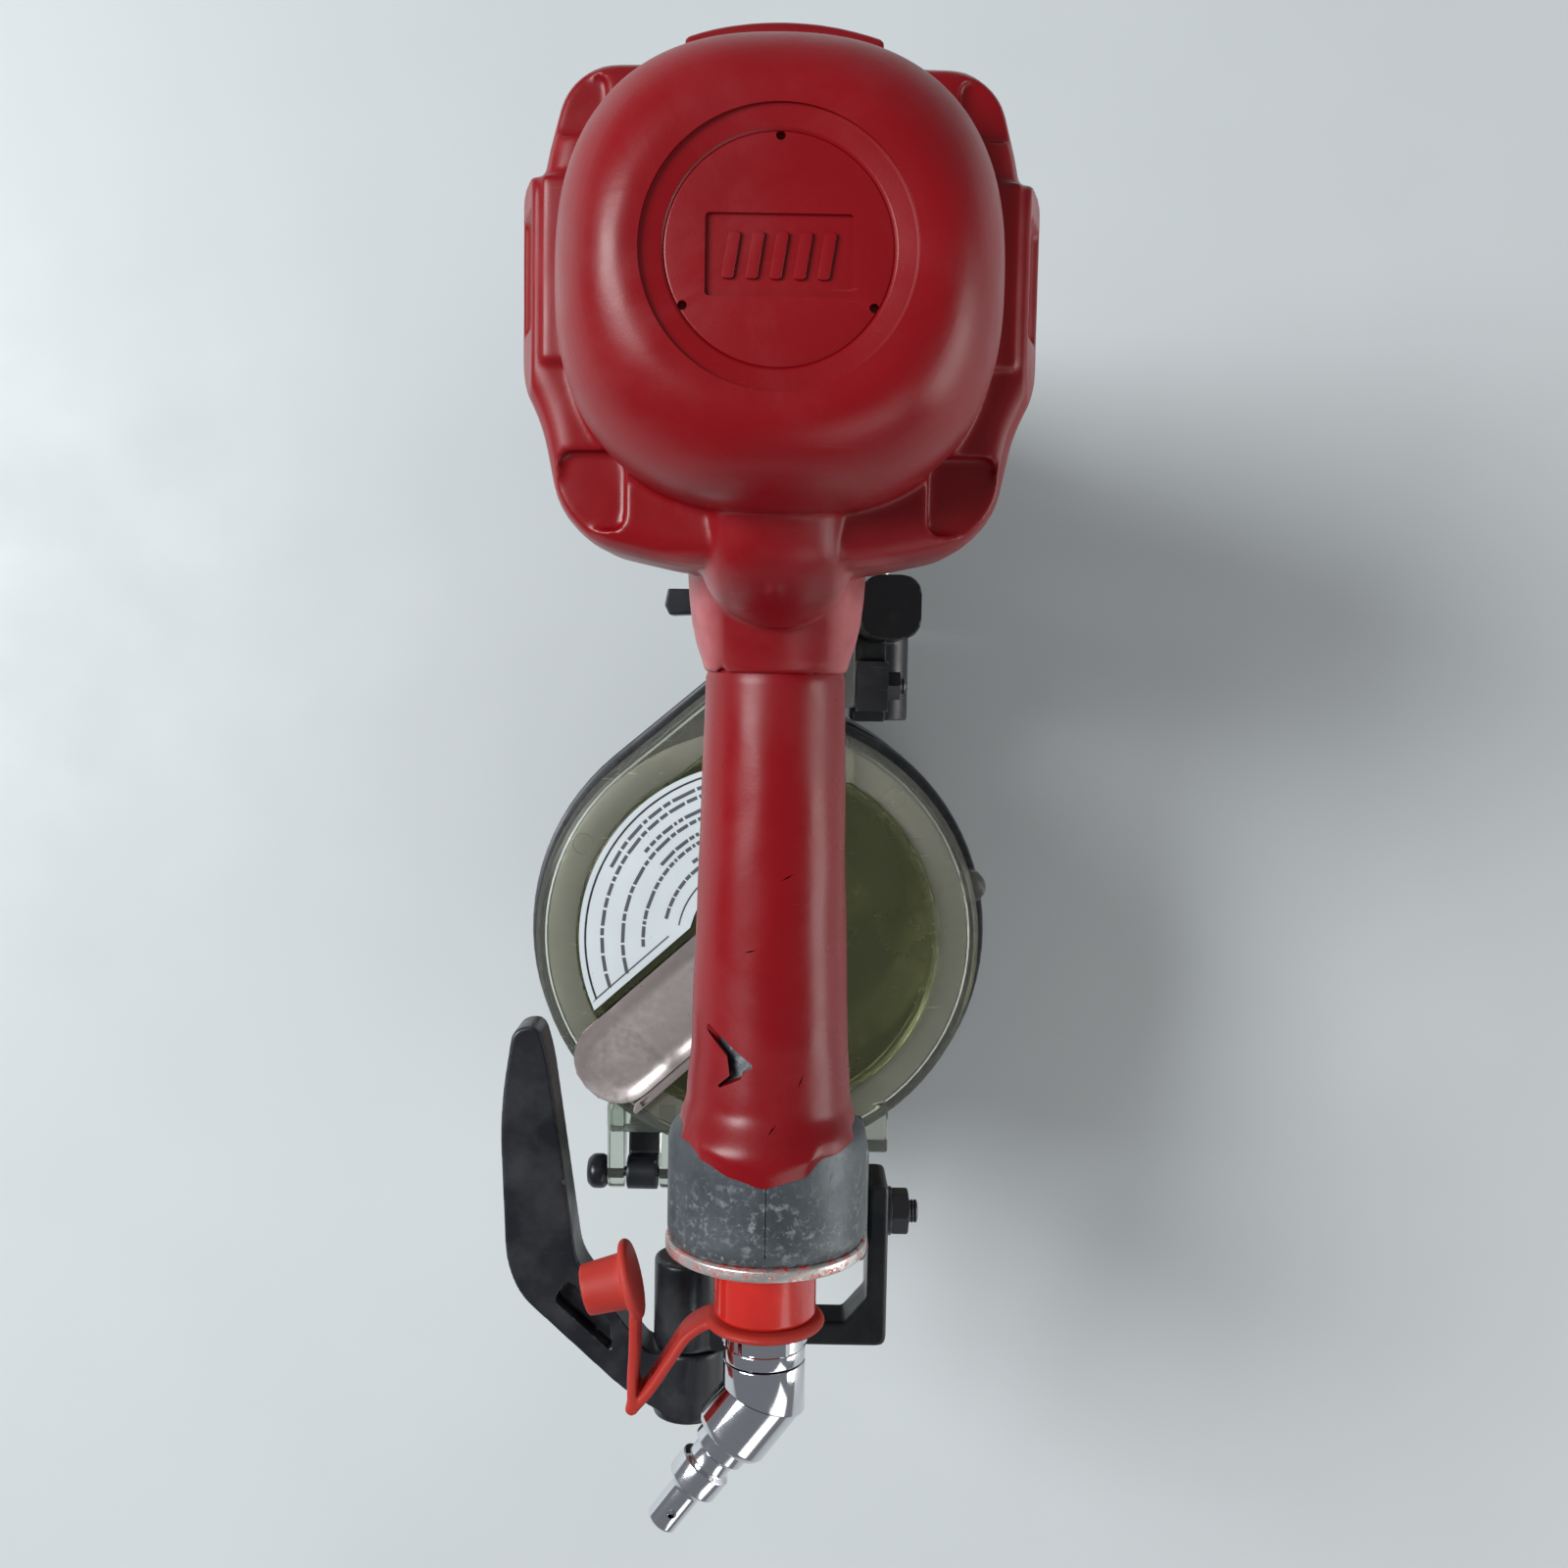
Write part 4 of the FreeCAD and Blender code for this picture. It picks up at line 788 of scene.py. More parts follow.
def casting():
    """Body casting: barrel, handle core and the thick handle end, softly cast."""
    core = []
    for k in range(24):
        y = -40 - (170 - 40) * k / 23
        half_x, half_z = grip_size(min(-66, y))
        core.append(oval(half_x - 2.5, HANDLE_Z - half_z + 2.5, HANDLE_Z + half_z - 2.5, y))
    core.append(oval(17.6, HANDLE_Z - 17.8, HANDLE_Z + 17.8, -172))
    end = handle_lathe([(0, 17), (0, 19.2), (2.5, 21.8), (5, 22.5), (26, 22.5), (27.4, 21.9), (29.6, 21.9),
                        (29.6, 17)], -168.4, 96, 0.6)
    parts = [skin(core), end]
    parts.append(lathe([(0, 20), (0, 36), (6, 36), (7, 33.9), (108, 34.9), (108, 20)], (0, 0, 116), around=96))
    for x, y in circle(8, 34.2, first=22.5):
        parts.append(upright(1.6, x, y, 121, 200, 16))
    parts.append(block(-14, 24.4, -210.8, -182, 150.2, 178, 2))
    parts.append(upright(9, 0, -61, 172, 190, 48))
    parts += [block(x, x + 3, -53, -38, 150, 192, 1) for x in (-12, 9)]
    cutters = [rod(22.95, (0, -196.1, HANDLE_Z), (0, -222, HANDLE_Z), 96),
               rod(1.6, (-15, -46, 157), (15, -46, 157), 24), upright(6.46, 0, -61, 150, 188, 48),
               upright(31.5, 0, 0, 100, 121, 96), block(-0.35, 0.35, -193, -170, 219.9, 223)]
    for x in (-22.5, 22.5):
        cutters.append(block(x - 0.3, x + 0.3, -193, -170, HANDLE_Z - 0.4, HANDLE_Z + 0.4))
    mesh = moulded(parts, 0.8, 3, 0.5, cutters)
    mesh = cut(mesh, block(-0.22, 0.22, -193.5, -168, HANDLE_Z + 22.1, HANDLE_Z + 24))
    finish_piece("casting_look", mesh, "frame", CAST, ["body_casting"], 50)


def end_cap():
    y = -196.0
    ring = handle_lathe([(0, 7), (0, 22.2), (0.4, 22.9), (2.6, 22.9), (3, 22.3), (3, 7)], y, 128, 0.25)
    finish_piece("end_ring", ring, "frame", CHIPPED, ["end_cap"])
    collar = handle_lathe([(2.9, 7), (2.9, 12.3), (4.0, 11.65), (18, 11.65), (18.8, 10.9), (18.8, 7)], y,
                          96, 0.5)
    finish_piece("end_collar", collar, "frame", GLOSS_RED)


def hexagonal(across, start, end, chamfer=0.5):
    """Hexagon bar with chamfered corners."""
    axis = Vector(end) - Vector(start)
    radius = across / math.sqrt(3)
    bar = prism(circle(6, radius), 0, axis.length, 0.12, 2)
    cone = lathe([(-0.1, 1), (-0.1, radius - chamfer - 0.1), (chamfer, radius + 0.3),
                  (axis.length - chamfer, radius + 0.3), (axis.length + 0.1, radius - chamfer - 0.1),
                  (axis.length + 0.1, 1)], around=72, rounding=0.05)
    bar = evaluated(bar, [("BOOLEAN", {"operation": "INTERSECT", "solver": "EXACT", "object": cone})])
    bar.transform(axis_frame(start, axis))
    return bar


def thread(radius, start, end, pitch=0.8):
    """Threaded stud, as a row of rounded crests."""
    length = (Vector(end) - Vector(start)).length
    profile = [(0, radius * 0.5), (0, radius - 0.3)]
    steps = int(length / pitch)
    for i in range(steps):
        profile.append((pitch * (i + 0.5), radius))
        profile.append((pitch * (i + 1), radius - 0.35))
    profile.append((length, radius * 0.5))
    return lathe(profile, start, Vector(end) - Vector(start), 32, 0.12)


def air_inlet():
    """Hexagon adapter, swivel elbow and quick coupling plug."""
    hex_part = hexagonal(17, (0, -217.3, HANDLE_Z), (0, -221.6, HANDLE_Z))
    fixed = handle_lathe([(0, 4), (0, 8.6), (2.4, 8.6), (2.4, 9.0), (6.6, 9.0), (6.9, 9.4), (9.9, 9.4),
                          (9.9, 4)], -215, 96, 0.3)
    finish_piece("adapter_look", joined([hex_part, fixed]), "frame", CHROME, ["inlet_adapter"])
    half = ELBOW_ANGLE / 2
    normal = Vector((-math.sin(half), -math.cos(half), 0))
    centre = Vector((0, ELBOW_Y, HANDLE_Z))
    barrel = handle_lathe([(0, 4), (0, 9.4), (20, 9.4), (20, 4)], -225.3, 128, 0.35)
    beyond = rod(40, centre - normal * 0.02, centre + normal * 60)
    elbow = evaluated(cut(barrel, beyond), [("BEVEL", {"width": 0.25, "segments": 2, "limit_method": "ANGLE"})])
    finish_piece("elbow_look", elbow, "swivel_elbow", CHROME, ["swivel_elbow"])
    along = Vector((-math.sin(ELBOW_ANGLE), -math.cos(ELBOW_ANGLE), 0))
    profile = [(-12, 3), (-12, 9.0), (11.6, 9.0), (13.0, 8.2), (13.2, 6.45), (16.6, 6.45), (17.4, 5.0), (20.6, 5.0),
               (21.4, 6.3), (26.6, 6.3), (27.6, 4.3), (28.6, 3.8), (38.3, 3.8), (38.9, 3.2), (38.9, 2.1), (20, 2.1)]
    plug = lathe(profile, centre, along, 128, 0.3)
    plug = cut(plug, rod(40, centre + normal * 0.3, centre - normal * 60))
    tip = centre + along * 34
    plug = cut(plug, rod(1.1, tip - Vector((0, 0, 8)), tip + Vector((0, 0, 8)), 24))
    finish_piece("plug_look", plug, "swivel_plug", CHROME, ["swivel_plug"])


def ribbon(path, widths, thickness, z_mid):
    """Flat rubber strap standing on edge along a plan path, with rounded edges."""
    rings = []
    for (x, y), width, before, after in zip(path, widths, path[:1] + path, path[1:] + path[-1:]):
        along = (Vector(after) - Vector(before)).normalized()
        rings.append([(x - along.y * u, y + along.x * u, z_mid + v)
                      for u, v, _ in squircle(thickness / 2, width / 2, 5, 0, 20)])
    return skin(rings)


def spline(points, steps=8):
    """Catmull-Rom curve through plan points."""
    padded = [points[0]] + points + [points[-1]]
    result = []
    for p0, p1, p2, p3 in zip(padded, padded[1:], padded[2:], padded[3:]):
        a, b, c, d = map(Vector, (p0, p1, p2, p3))
        for i in range(steps):
            t = i / steps
            result.append(tuple(0.5 * ((2 * b) + (c - a) * t + (2 * a - 5 * b + 4 * c - d) * t * t
                                       + (3 * b - a - 3 * c + d) * t ** 3)))
    result.append(points[-1])
    return result


def dust_cap():
    """Rubber strap with its ring, folded back to the dust cap."""
    z = HANDLE_Z - 1
    ring = handle_lathe([(0, 8.7), (0, 12.9), (1.1, 13.9), (2.2, 12.9), (2.2, 8.7), (0, 8.7)], -215, 72, 0.4)
    arm = spline([(-7, -216.1), (-12.5, -216.4), (-17.5, -219.5), (-21.5, -225.5), (-26, -232.5), (-29.8, -237.2)])
    first = ribbon(arm, [9 + 2.5 * math.sin(i / len(arm) * math.pi) for i in range(len(arm))], 2.6, z)
    slot = ribbon(spline([(-18.6, -220.9), (-21.5, -225.4), (-25.2, -231.2)]), [5.2] * 17, 6, z)
    first = cut(first, slot)
    back = spline([(-29.8, -237.2), (-29.9, -230), (-29.6, -223), (-29.6, -214)])
    second = ribbon(back, [10.5] * len(back), 2.5, z)
    hinge = upright(1.5, -29.9, -236.6, z - 5, z + 5, 24)
    centre = (-29.6, -207.6, z)
    cap = lathe([(0, 2), (0, 8.6), (1.0, 9.3), (2.1, 8.8), (2.3, 6.4), (12, 5.8), (12, 4.3), (3, 4.3), (3, 2)],
                centre, (-0.966, -0.26, 0), 72, 0.4)
    mesh = moulded([ring, first, second, hinge, cap], 0.4, 2, 0.5)
    finish_piece("dust_cap_look", mesh, "frame", CAP_RED, ["dust_cap"], 50)


# ---- magazine ----
def magazine_outline(radius, trim, steps=72):
    """Round canister with its straight side and the throat toward the nose."""
    across = FEED_ANGLE + math.pi / 2
    touch = Vector(polar(radius, across, MAG_X, MAG_Y))
    left, right, front = -16.5 + trim, 9.5 - trim, -56 - trim
    run = (left - touch.x) / math.cos(FEED_ANGLE)
    corner = (left, touch.y + run * math.sin(FEED_ANGLE))
    right_angle = math.asin(min(1.0, (right - MAG_X) / radius))
    sweep = 2 * math.pi - (across - (math.pi / 2 - right_angle))
    points = [polar(radius, across + sweep * i / steps, MAG_X, MAG_Y) for i in range(steps + 1)]
    return points + [(right, front), (left, front), corner]


def magazine_shell(levels):
    """Skin through (z, radius, trim) levels of the magazine's plan, closed as a loop."""
    return skin([[(x, y, z) for x, y in magazine_outline(r, t)] for z, r, t in levels], closed=True)


def magazine_cup():
    """Black lower half with a rolled rim, ribs and the hinge lug."""
    low, rim = CUP_LOW.z, RIM_Z
    r = MAG_R
    shell = magazine_shell([(low, r - 8, 4), (low, r - 2.0, 1.2), (low + 0.6, r - 0.7, 0.4), (low + 2, r, 0),
                            (rim - 6, r, 0), (rim - 1.0, r, 0), (rim - 0.2, r - 0.4, 0.3), (rim, r - 1.2, 0.8),
                            (rim, r - 3.4, 3.2), (rim - 0.7, r - 4.4, 4.2), (rim - 2, r - 4.5, 4.5),
                            (low + 4, r - 4.5, 4.5), (low + 3, r - 5.5, 5.5), (low + 3, r - 9, 6)])
    floor = prism(magazine_outline(r - 4, 4), low + 0.6, low + 3)
    post = lathe([(0, 3), (0, 7), (42, 7), (44, 5), (44, 3)], (MAG_X, MAG_Y, low + 2), around=48)
    lug = [rod(5, (-41.5, PIVOT_Y, PIVOT_Z), (-32.5, PIVOT_Y, PIVOT_Z), 48),
           side_prism([(PIVOT_Y - 3.5, PIVOT_Z), (PIVOT_Y + 3, PIVOT_Z - 2.6), (-203, 94.2), (-200, 78),
                       (-206, 78)], -41.5, -32.5, 0.6)]
    throat = block(-12, 4.5, -60.5, -52, low + 6, rim + 4)
    bore = rod(1.6, (-60, PIVOT_Y, PIVOT_Z), (-20, PIVOT_Y, PIVOT_Z), 24)
    shell = cut(shell, throat)
    ribs = []
    for degrees in range(200, 351, 25):
        x, y = polar(r - 0.9, math.radians(degrees), MAG_X, MAG_Y)
        ribs.append(upright(1.1, x, y, low + 5, rim - 8, 16))
    finish_piece("cup_look", joined([shell, floor, post] + ribs), "magazine_cup", BLACK,
                 ["magazine_cup"])
    finish_piece("cup_lug", cut(moulded(lug, 0.4, 2, 0.6), bore), "magazine_cup", BLACK)


def liner_and_support():
    """Stainless floor with its turned rim, and the tinted disc that carries the coil."""
    low = LINER_LOW.z
    r = MAG_R - 5.0
    liner = lathe([(0, 7.2), (0, r - 1), (1, r), (5.5, r), (5.5, r - 0.7), (1.4, r - 0.8), (0.9, r - 1.8), (0.9, 7.2),
                   (0, 7.2)], (MAG_X, MAG_Y, low + 0.2), around=128, rounding=0.3)
    finish_piece("liner_look", liner, "magazine_cup", STAINLESS, ["magazine_liner"])
    base = span("nail_support")[0].z
    disc = lathe([(0, 7.1), (0, 12), (6, 12.3), (6, 47), (6.6, 48), (8.2, 48), (8.6, 47), (8.6, 13), (18, 12),
                  (18, 7.1), (0, 7.1)], (MAG_X, MAG_Y, base), around=96, rounding=0.6)
    holes = []
    for x, y in circle(6, 30, MAG_X, MAG_Y):
        holes.append(upright(6, x, y, base + 3, base + 12, 40))
    finish_piece("support_look", cut(disc, *holes), "nail_support", YELLOW,
                 ["nail_support"])


def radial(x, y, z):
    """Point given along and across the tongue's direction from the magazine's centre."""
    c, s = math.cos(TONGUE_ANGLE), math.sin(TONGUE_ANGLE)
    return Vector((MAG_X + x * c - y * s, MAG_Y + x * s + y * c, z))


def radial_prism(places, z0, z1, bevel=0.0):
    """Upright block over an outline given along and across the tongue's direction."""
    return prism([tuple(radial(x, y, 0))[:2] for x, y in places], z0, z1, bevel)


def magazine_lid():
    """Clear lid: a bevelled outer shell, a raised disc, moulding rings and the hinge lugs."""
    low, top = RIM_Z + 0.5, LID_TOP
    r = LID_R
    shell = magazine_shell([(low, r, 3.1), (top - 4, r, 3.1), (top - 2.2, r - 1.4, 4.4), (top - 2, r - 1.8, 4.8),
                            (top - 2, r - 14, 9), (top - 4.6, r - 14, 9), (top - 4.6, r - 3.2, 6),
                            (top - 5.4, r - 2.6, 5.6), (low, r - 2.5, 5.5)])
    disc = lathe([(-4.6, 2), (-4.6, r - 13), (-2.0, r - 11.8), (-0.6, r - 11.8), (0, r - 12.6), (0, 2)],
                 (MAG_X, MAG_Y, top), around=128, rounding=0.5)
    outline = magazine_outline(r - 13, 8.6)
    infill = prism(outline, top - 4.6, top - 2.05)
    slab = evaluated(infill, [("BOOLEAN", {"operation": "UNION", "solver": "EXACT", "object": disc})])
    window = radial_prism(rectangle(14, 70, -12.9, 15.4), top - 4.9, top + 2)
    slab = cut(slab, window)
    finish_piece("lid_shell", shell, "frame", CLEAR, ["magazine_lid"])
    finish_piece("lid_plate", slab, "frame", OLIVE)
    band = lathe([(0, 51.5), (0, r - 3.6), (0.7, r - 3.6), (0.7, 51.5), (0, 51.5)], (MAG_X, MAG_Y, top - 5.6),
                 around=160, rounding=0.1)
    finish_piece("lid_band", band, "frame", BAND)
    marks = []
    for degrees, distance in ((152, 56), (223, 56.5), (47, 55.5), (250, 55)):
        x, y = polar(distance, math.radians(degrees), MAG_X, MAG_Y)
        marks.append(lathe([(0, 2.7), (0.25, 2.75), (0.25, 3.1), (0, 3.15), (0, 2.7)], (x, y, top - 1.95),
                           around=32, rounding=0.08))
    x, y = polar(r - 0.6, math.radians(14), MAG_X, MAG_Y)
    marks.append(lathe([(0, 1), (0, 4.6), (9, 4.6), (10.5, 3.6), (10.5, 1)], (x, y, low), around=40, rounding=0.8))
    marks.append(block(19.2, 21.6, -100, -90.5, top - 2.1, top - 0.2, 0.4))
    marks.append(block(1, 21.6, -79, -58.3, low, top - 1, 0.9))
    marks.append(block(8.3, 33.6, -205.8, -192, low, top - 0.1, 0.9))
    finish_piece("lid_marks", joined(marks), "frame", CLEAR)
    lugs = []
    for x0 in (-47, -32):
        profile = [(PIVOT_Y - 4.9, PIVOT_Z), (PIVOT_Y - 3.4, PIVOT_Z - 3.5), (PIVOT_Y, PIVOT_Z - 4.9),
                   (PIVOT_Y + 3.5, PIVOT_Z - 3.4), (PIVOT_Y + 5, low + 0.2), (-194, low + 0.2), (-194, top - 4),
                   (PIVOT_Y + 1, PIVOT_Z + 5.4), (PIVOT_Y - 3.4, PIVOT_Z + 3.5)]
        lugs.append(side_prism(profile, x0 + 0.1, x0 + 4.9, 0.7))
    lugs.append(block(-46, -28, -202.6, -196, low + 0.2, top - 5, 0.8))
    finish_piece("lid_lugs", joined(lugs), "frame", CLEAR_LUG)


def tongue():
    """Stainless strip pressed into a shallow dish and turned down over the rim."""
    z = LID_TOP + 0.15
    half = 12.4
    reach = 64.5
    rows = []
    for i in range(61):
        along = 3 + (reach - 3) * i / 60
        tip = max(0.0, (along - 52) / (reach - 52))
        width = half * math.sqrt(max(0.0, 1 - tip ** 2.2)) + 0.05
        row = []
        for k in range(25):
            across = -width + 2 * width * k / 24
            from_middle = abs(across) if along < 52 else math.hypot((along - 52) * 0.98, across)
            rim = clamp((half - from_middle) / 4.5)
            dish = 1.0 - 1.35 * smooth_step(rim)
            ridge = 0.9 * math.exp(-((along - 42 + 0.12 * across) / 2.2) ** 2) * min(1, rim * 1.5)
            fall = -1.0 * max(0.0, (along - 60) / 4.5) ** 2
            row.append(radial(along, across, z + dish * 0.85 + ridge * 0.6 + fall))
        rows.append(row)
    bm = bmesh.new()
    grid = [[bm.verts.new(p) for p in row] for row in rows]
    for i in range(60):
        for k in range(24):
            bm.faces.new((grid[i][k], grid[i][k + 1], grid[i + 1][k + 1], grid[i + 1][k]))
    plate = evaluated(to_mesh(bm), [("SOLIDIFY", {"thickness": 0.7, "offset": -1.0})])
    tab = [(reach - 2.5, -6), (reach - 0.4, -5), (reach + 0.2, 0), (reach - 0.4, 5), (reach - 2.5, 6)]
    turned = radial_prism(tab, RIM_Z + 2.2, z - 0.1, 0.6)
    clip = radial_prism([(20, 12.7), (57, 12.7), (59, 14.0), (59, 15.2), (20, 15.2)], z - 3.2, z + 0.1, 0.3)
    clip = cut(clip, radial_prism(rectangle(53, 56, 13.4, 14.9), z - 2, z + 3))
    finish_piece("tongue_look", joined([plate, turned, clip]), "frame", TRAY_STEEL_AND_REFLECTION,
                 ["magazine_tongue"])


def label_sector(r0, r1, a0, a1, offset):
    """Ring sector about the magazine's centre, trimmed straight beside the tongue."""
    points = [polar(r1, math.radians(a0 + (a1 - a0) * i / 48)) for i in range(49)]
    points += [polar(r0, math.radians(a1 + (a0 - a1) * i / 24)) for i in range(25)]
    normal = Vector((-math.sin(TONGUE_ANGLE), math.cos(TONGUE_ANGLE)))
    kept = []
    for x, y in points:
        over = max(0.0, Vector((x, y)).dot(normal) + offset)
        kept.append((MAG_X + x - normal.x * over, MAG_Y + y - normal.y * over))
    return kept


def label():
    """White film with a printed border and plain rows of marks that aren't writing."""
    z = LID_TOP + 0.02
    film = prism(label_sector(19, 50.2, 92, 218, 15.0), z, z + 0.28)
    finish_piece("label_film", film, "frame", WHITE, ["magazine_label"])
    lines = [label_sector(48.2, 48.7, 92, 206, 17.0), label_sector(22.2, 22.6, 92, 170, 17.0)]
    ink = [prism(points, z + 0.27, z + 0.36) for points in lines]
    ink.append(radial_prism(rectangle(18, 45.6, -17.4, -17.0), z + 0.27, z + 0.36))
    for row, radius in enumerate((45.4, 43.2, 39.6, 37.4, 33.8, 31.6, 28, 25.8)):
        last = (150, 196, 143, 190, 134, 182, 128, 168)[row]
        angle = 98.0 + 4 * (row % 3)
        step = 0
        while angle < last:
            length = 1.2 + 13 * abs(noise.noise(Vector((row * 7.3 + 0.4, step * 1.7 + 0.2, 0))))
            corners = [(radius, angle), (radius + 1.0, angle), (radius + 1.0, angle + length),
                       (radius, angle + length)]
            ink.append(prism([polar(r, math.radians(a), MAG_X, MAG_Y) for r, a in corners], z + 0.27, z + 0.34))
            angle += length + 0.9
            step += 1
    finish_piece("label_print", joined(ink), "frame", INK)


def magazine_pin():
    head = lathe([(0, 2), (0, 4.1), (1.2, 5), (4.2, 5), (5.8, 3.6), (6.0, 2)], (-47.2, PIVOT_Y, PIVOT_Z), (-1, 0, 0),
                 64, 0.8)
    shaft = rod(1.45, (-47.4, PIVOT_Y, PIVOT_Z), (-26, PIVOT_Y, PIVOT_Z), 32)
    finish_piece("pin_look", joined([head, shaft]), "frame", BLACK, ["magazine_pin"])


# ---- rear bracket and hook ----
HOOK_X, HOOK_Z = -19.0, 166.0
NUT_Y, NUT_Z = -204, 160     # axis of the bracket's bolt


def rear_bracket():
    """J-shaped bracket from the lid past the handle's end to the hook's barrel."""
    plate = prism(rounded_outline(rectangle(25, 30, -195, -236), [1, 2, 4.5, 3]), 150, 168, 0.9)
    post = block(14, 20, -212, -195, 109, 150, 0.9)
    shelf = block(14, 30, -212, -198, 144.5, 149.8, 0.9)
    side = block(25, 30, -212, -198, 145, 153, 0.9)
    foot = block(8, 24, -206, -194, LID_TOP, LID_TOP + 4, 0.8)
    rear = prism(rounded_outline(rectangle(-10, 30, -236, -230), [1, 5, 1, 1]), 156, 168, 0.9)
    fillet = prism([(19, -230.5), (25.5, -223), (25.5, -231), (19, -231)], 156, 168, 0.5)
    neck = block(-19, -6, -236, -226, 162, 173, 1.2)
    barrel = rod(8.8, (HOOK_X, -214, HOOK_Z), (HOOK_X, -236, HOOK_Z), 72, 1.0)
    boss = rod(6.4, (23.8, NUT_Y, NUT_Z), (30.4, NUT_Y, NUT_Z), 48)
    cutters = [rod(3.0, (20, NUT_Y, NUT_Z), (35, NUT_Y, NUT_Z), 32),
               rod(4.0, (HOOK_X, -210, HOOK_Z), (HOOK_X, -240, HOOK_Z), 48)]
    mesh = moulded([plate, post, shelf, side, foot, rear, fillet, neck, barrel, boss], 0.5, 3, 0.5, cutters)
    finish_piece("bracket_look", mesh, "frame", BLACK, ["rear_bracket"], 50)
    washer = lathe([(0, 3.0), (0, 6), (1, 6), (1, 3.0), (0, 3.0)], (30.1, NUT_Y, NUT_Z), (1, 0, 0), 48, 0.15)
    fixings = [washer, hexagonal(10, (31.1, NUT_Y, NUT_Z), (35.3, NUT_Y, NUT_Z)),
               thread(2.95, (24, NUT_Y, NUT_Z), (37.8, NUT_Y, NUT_Z))]
    finish_piece("bracket_nut", joined(fixings), "frame", DARK_STEEL, ["bracket_bolt"])


def hook():
    """Hanging hook: barrel, gusset with its pocket, and the long tapering arm."""
    low, high = HOOK_Z - 6.5, HOOK_Z + 6.5
    barrel = rod(8.8, (HOOK_X, -236.3, HOOK_Z), (HOOK_X, -254, HOOK_Z), 72, 1.0)
    arm_plan = [(-46.4, -214.5), (-53.8, -163.5), (-56.2, -155.2), (-62.4, -156.2), (-65.5, -177), (-63.8, -214),
                (-60.5, -222.5), (-34.4, -246.5), (-22, -254), (-22, -236.8), (-29, -236.8)]
    radii = [4, 8, 3.5, 3.5, 12, 6, 5, 6, 1, 1, 2]
    arm = prism(rounded_outline(arm_plan, radii, 6), low, high, 2.0)
    pocket = prism(rounded_outline([(-48.5, -218.5), (-38.5, -228.5), (-37.5, -236.5), (-52.0, -223.5)], 1.5),
                   HOOK_Z + 1.5, high + 2)
    bore = rod(4.06, (HOOK_X, -230, HOOK_Z), (HOOK_X, -250, HOOK_Z), 48)
    mesh = moulded([barrel, arm], 0.5, 3, 0.5, [pocket, bore])
    finish_piece("hook_look", mesh, "hook", BLACK, ["hook"], 50)


# ---- nose, feeder, trigger ----
ARM_Y = 29                   # axis of the depth dial and of the contact arm's spring


def soft_copy(node, body, material, voxel=0.5, smooth=3, keep=0.5, cutters=()):
    """Cast or moulded version of a CAD node, its edges rounded over."""
    mesh = moulded([cad_mesh(node)], voxel, smooth, keep, cutters)
    finish_piece(node + "_look", mesh, body, material, [node], 50)


def cylinder_cap():
    """Cast cap, drawn in so that the boot covers it."""
    mesh = cad_mesh("cylinder_cap")
    mesh.transform(Matrix.Diagonal((0.955, 0.955, 0.99, 1)))
    finish_piece("cylinder_cap_look", mesh, "frame", CAST, ["cylinder_cap"])


def feeder_bolt():
    y, z = -73, 90
    fixings = [hexagonal(8, (12, y, z), (16, y, z)), hexagonal(8, (31.1, y, z), (35.4, y, z)),
               thread(2.45, (16, y, z), (37.5, y, z))]
    finish_piece("feeder_bolt_look", joined(fixings), "frame", DARK_STEEL, ["feeder_bolt"])


def depth_dial():
    """Ribbed wheel on its stem."""
    low, high = span("depth_dial")
    centre = ((low.x + high.x) / 2, (low.y + high.y) / 2)
    rings = []
    for z, inset in ((53.4, 1.2), (54.2, 0.3), (55, 0), (62.4, 0), (63.2, 0.3), (64, 1.2)):
        ring = []
        for i in range(160):
            angle = 2 * math.pi * i / 160
            radius = 8.9 - inset - 0.55 * (0.5 + 0.5 * math.cos(20 * angle)) ** 3
            ring.append((*polar(radius, angle, *centre), z))
        rings.append(ring)
    stem = thread(2.4, (*centre, low.z), (*centre, high.z), 1.0)
    finish_piece("dial_look", joined([skin(rings), stem]), "depth_dial", BLACK, ["depth_dial"])


def spring(node, radius, wire, turns, x, y, z0, z1):
    """Coil of round wire in even turns from its lower to its upper end."""
    around = 28
    low = z0 + wire + 0.05
    rings = []
    for i in range(turns * around + 1):
        angle = 2 * math.pi * i / around
        z = low + (z1 - wire - low) * i / (turns * around)
        ring = []
        for k in range(12):
            turn = math.pi * k / 6
            ring.append((*polar(radius + wire * math.cos(turn), angle, x, y), z + wire * math.sin(turn)))
        rings.append(ring)
    coil = finish_piece(node + "_look", skin(rings), "frame", STEEL, [node], 60)
    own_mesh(coil)


def finish_cad_nodes():
    """Procedural finishes for the CAD nodes that stay."""
    finishes = {"steel": STEEL, "alloy": ALLOY, "dark_steel": DARK_STEEL, "chrome": CHROME, "stainless": STAINLESS,
                "brass_mesh": BRASS, "dark_rubber": DARK_RUBBER, "black_plastic": BLACK,
                "black_metal": BLACK_METAL, "casting": CAST, "red_rubber": RED}
    slots = {p["node"]: p["material_slot"] for p in frame["record"]["subparts"]}
    for node, obj in frame["nodes"].items():
        if slots.get(node) in finishes:
            obj.data.materials.clear()
            obj.data.materials.append(finishes[slots[node]])


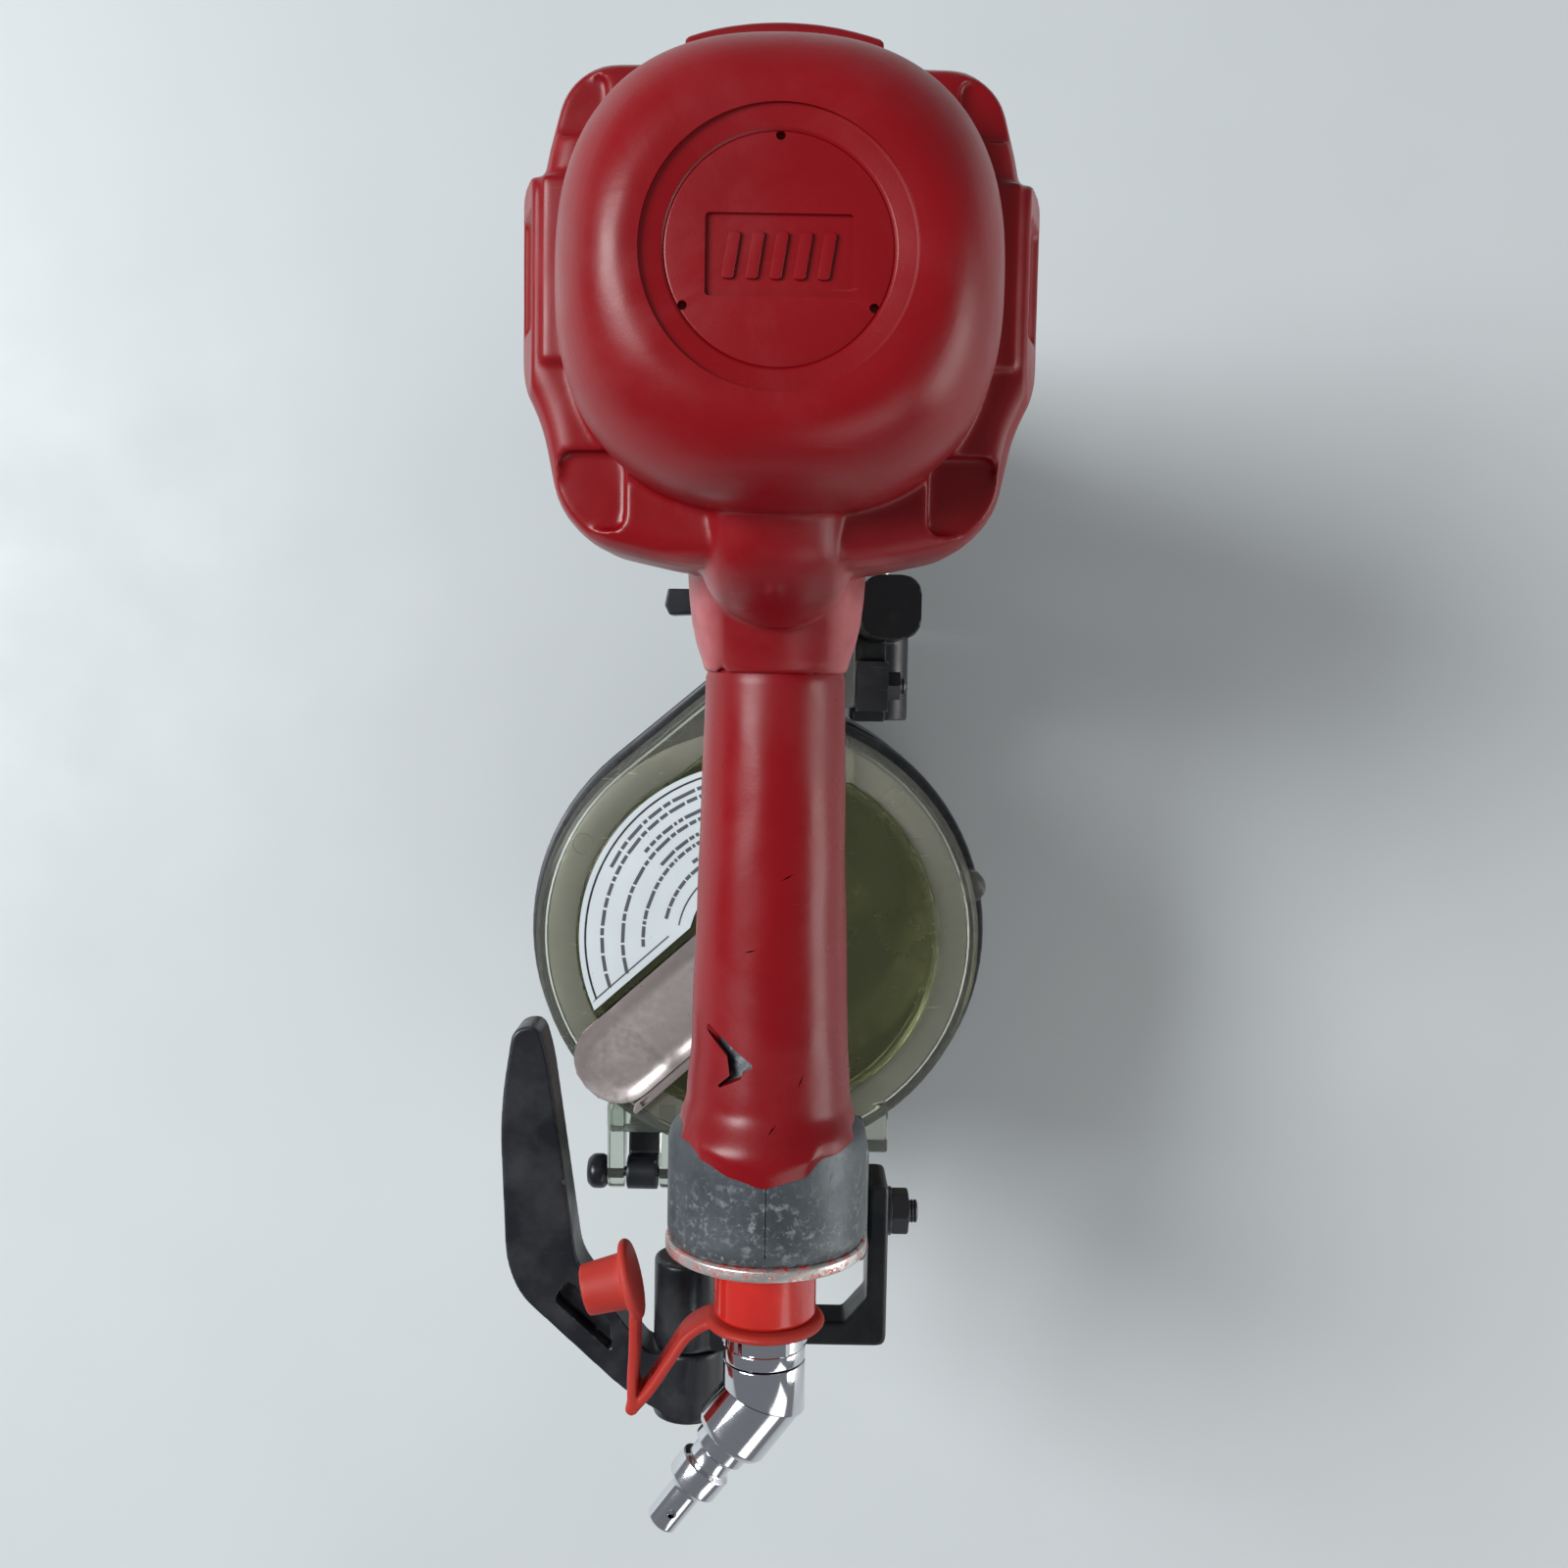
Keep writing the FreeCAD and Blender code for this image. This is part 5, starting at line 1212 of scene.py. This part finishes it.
# ---- stage ----
def stage():
    floor_z = CAD_BOX[0][2] - 0.0002
    bm = bmesh.new()
    bmesh.ops.create_grid(bm, x_segments=2, y_segments=2, size=2.5)
    mesh = to_mesh(bm, "floor")
    floor = bpy.data.objects.new("floor", mesh)
    floor.location = (0, -0.1, floor_z)
    s = Shader("floor_pale")
    base = s.mix(s.ramp(s.noise(3, 4.0), 0.3, 0.7), (0.60, 0.63, 0.635, 1), (0.66, 0.69, 0.695, 1))
    s.set(Base_Color=base, Roughness=s.ramp(s.noise(20, 4.0), 0.3, 0.7, 0.45, 0.6))
    mesh.materials.append(s.material)
    bpy.context.scene.collection.objects.link(floor)


def area_light(name, place, target, size, power, colour=(1, 1, 1)):
    data = bpy.data.lights.new(name, "AREA")
    data.shape = "RECTANGLE"
    data.size, data.size_y = size
    data.energy = power
    data.color = colour
    light = bpy.data.objects.new(name, data)
    light.location = place
    direction = Vector(target) - Vector(place)
    light.rotation_euler = direction.to_track_quat("-Z", "Y").to_euler()
    bpy.context.scene.collection.objects.link(light)


def lights():
    area_light("window", (-1.15, 0.15, 1.35), (0, -0.1, 0.1), (0.65, 0.9), 30, (0.95, 0.98, 1.0))
    area_light("fill", (0.9, -1.5, 1.0), (0, -0.1, 0.1), (1.2, 0.8), 5, (1.0, 0.99, 0.97))
    area_light("side", (1.3, -0.3, 0.35), (0, -0.1, 0.12), (0.9, 0.6), 7, (1.0, 0.99, 0.97))
    world = bpy.data.worlds.new("studio")
    world.use_nodes = True
    world.node_tree.nodes["Background"].inputs[0].default_value = (0.80, 0.85, 0.9, 1)
    world.node_tree.nodes["Background"].inputs[1].default_value = 0.25
    bpy.context.scene.world = world


def camera():
    """Straight down over the handle, as the tool is seen from above its head."""
    data = bpy.data.cameras.new("camera")
    data.sensor_width = 36
    data.lens = 36.1
    eye = bpy.data.objects.new("camera", data)
    eye.location = (0.0023, -0.1089, 0.540)
    eye.rotation_euler = (0, 0, math.radians(1.0))
    bpy.context.scene.collection.objects.link(eye)
    bpy.context.scene.camera = eye
    bpy.context.scene.view_settings.view_transform = "Standard"


head_cover()
cap_disc()
grip_sleeve()
casting()
end_cap()
air_inlet()
dust_cap()
magazine_cup()
liner_and_support()
magazine_lid()
tongue()
label()
magazine_pin()
rear_bracket()
hook()
soft_copy("feeder_housing", "frame", BLACK_METAL)
TIP_RELIEF = cut(upright(12, 0, 0, 15, 23.9), upright(6.75, 0, 0, 10, 30))
soft_copy("nose", "frame", DARK_STEEL, 0.7, 2, 0.5,
          [upright(4.3, 0, 0, 10, 130), TIP_RELIEF])
soft_copy("nose_door", "nose_door", DARK_STEEL, 0.5, 2)
soft_copy("door_latch", "door_latch", BLACK, 0.4)
soft_copy("trigger", "trigger", BLACK, 0.4)
soft_copy("contact_arm", "contact_arm", STEEL, 0.5, 2, 0.5, [upright(5.4, 0, ARM_Y, 83.8, 90)])
soft_copy("contact_foot", "contact_arm", STEEL, 0.35, 2, 0.5, [upright(7.8, 0, 0, 5.6, 20)])
soft_copy("valve_housing", "frame", BLACK, 0.4)
cylinder_cap()
feeder_bolt()
depth_dial()
spring("head_valve_spring", 23, 1.1, 3, 0, 0, 247, 262)
spring("plunger_spring", 1.9, 0.4, 5, 0, -61, 176, 186)
spring("contact_spring", 3.6, 0.7, 6, 0, ARM_Y, 84, 108)
finish_cad_nodes()
stage()
lights()
camera()
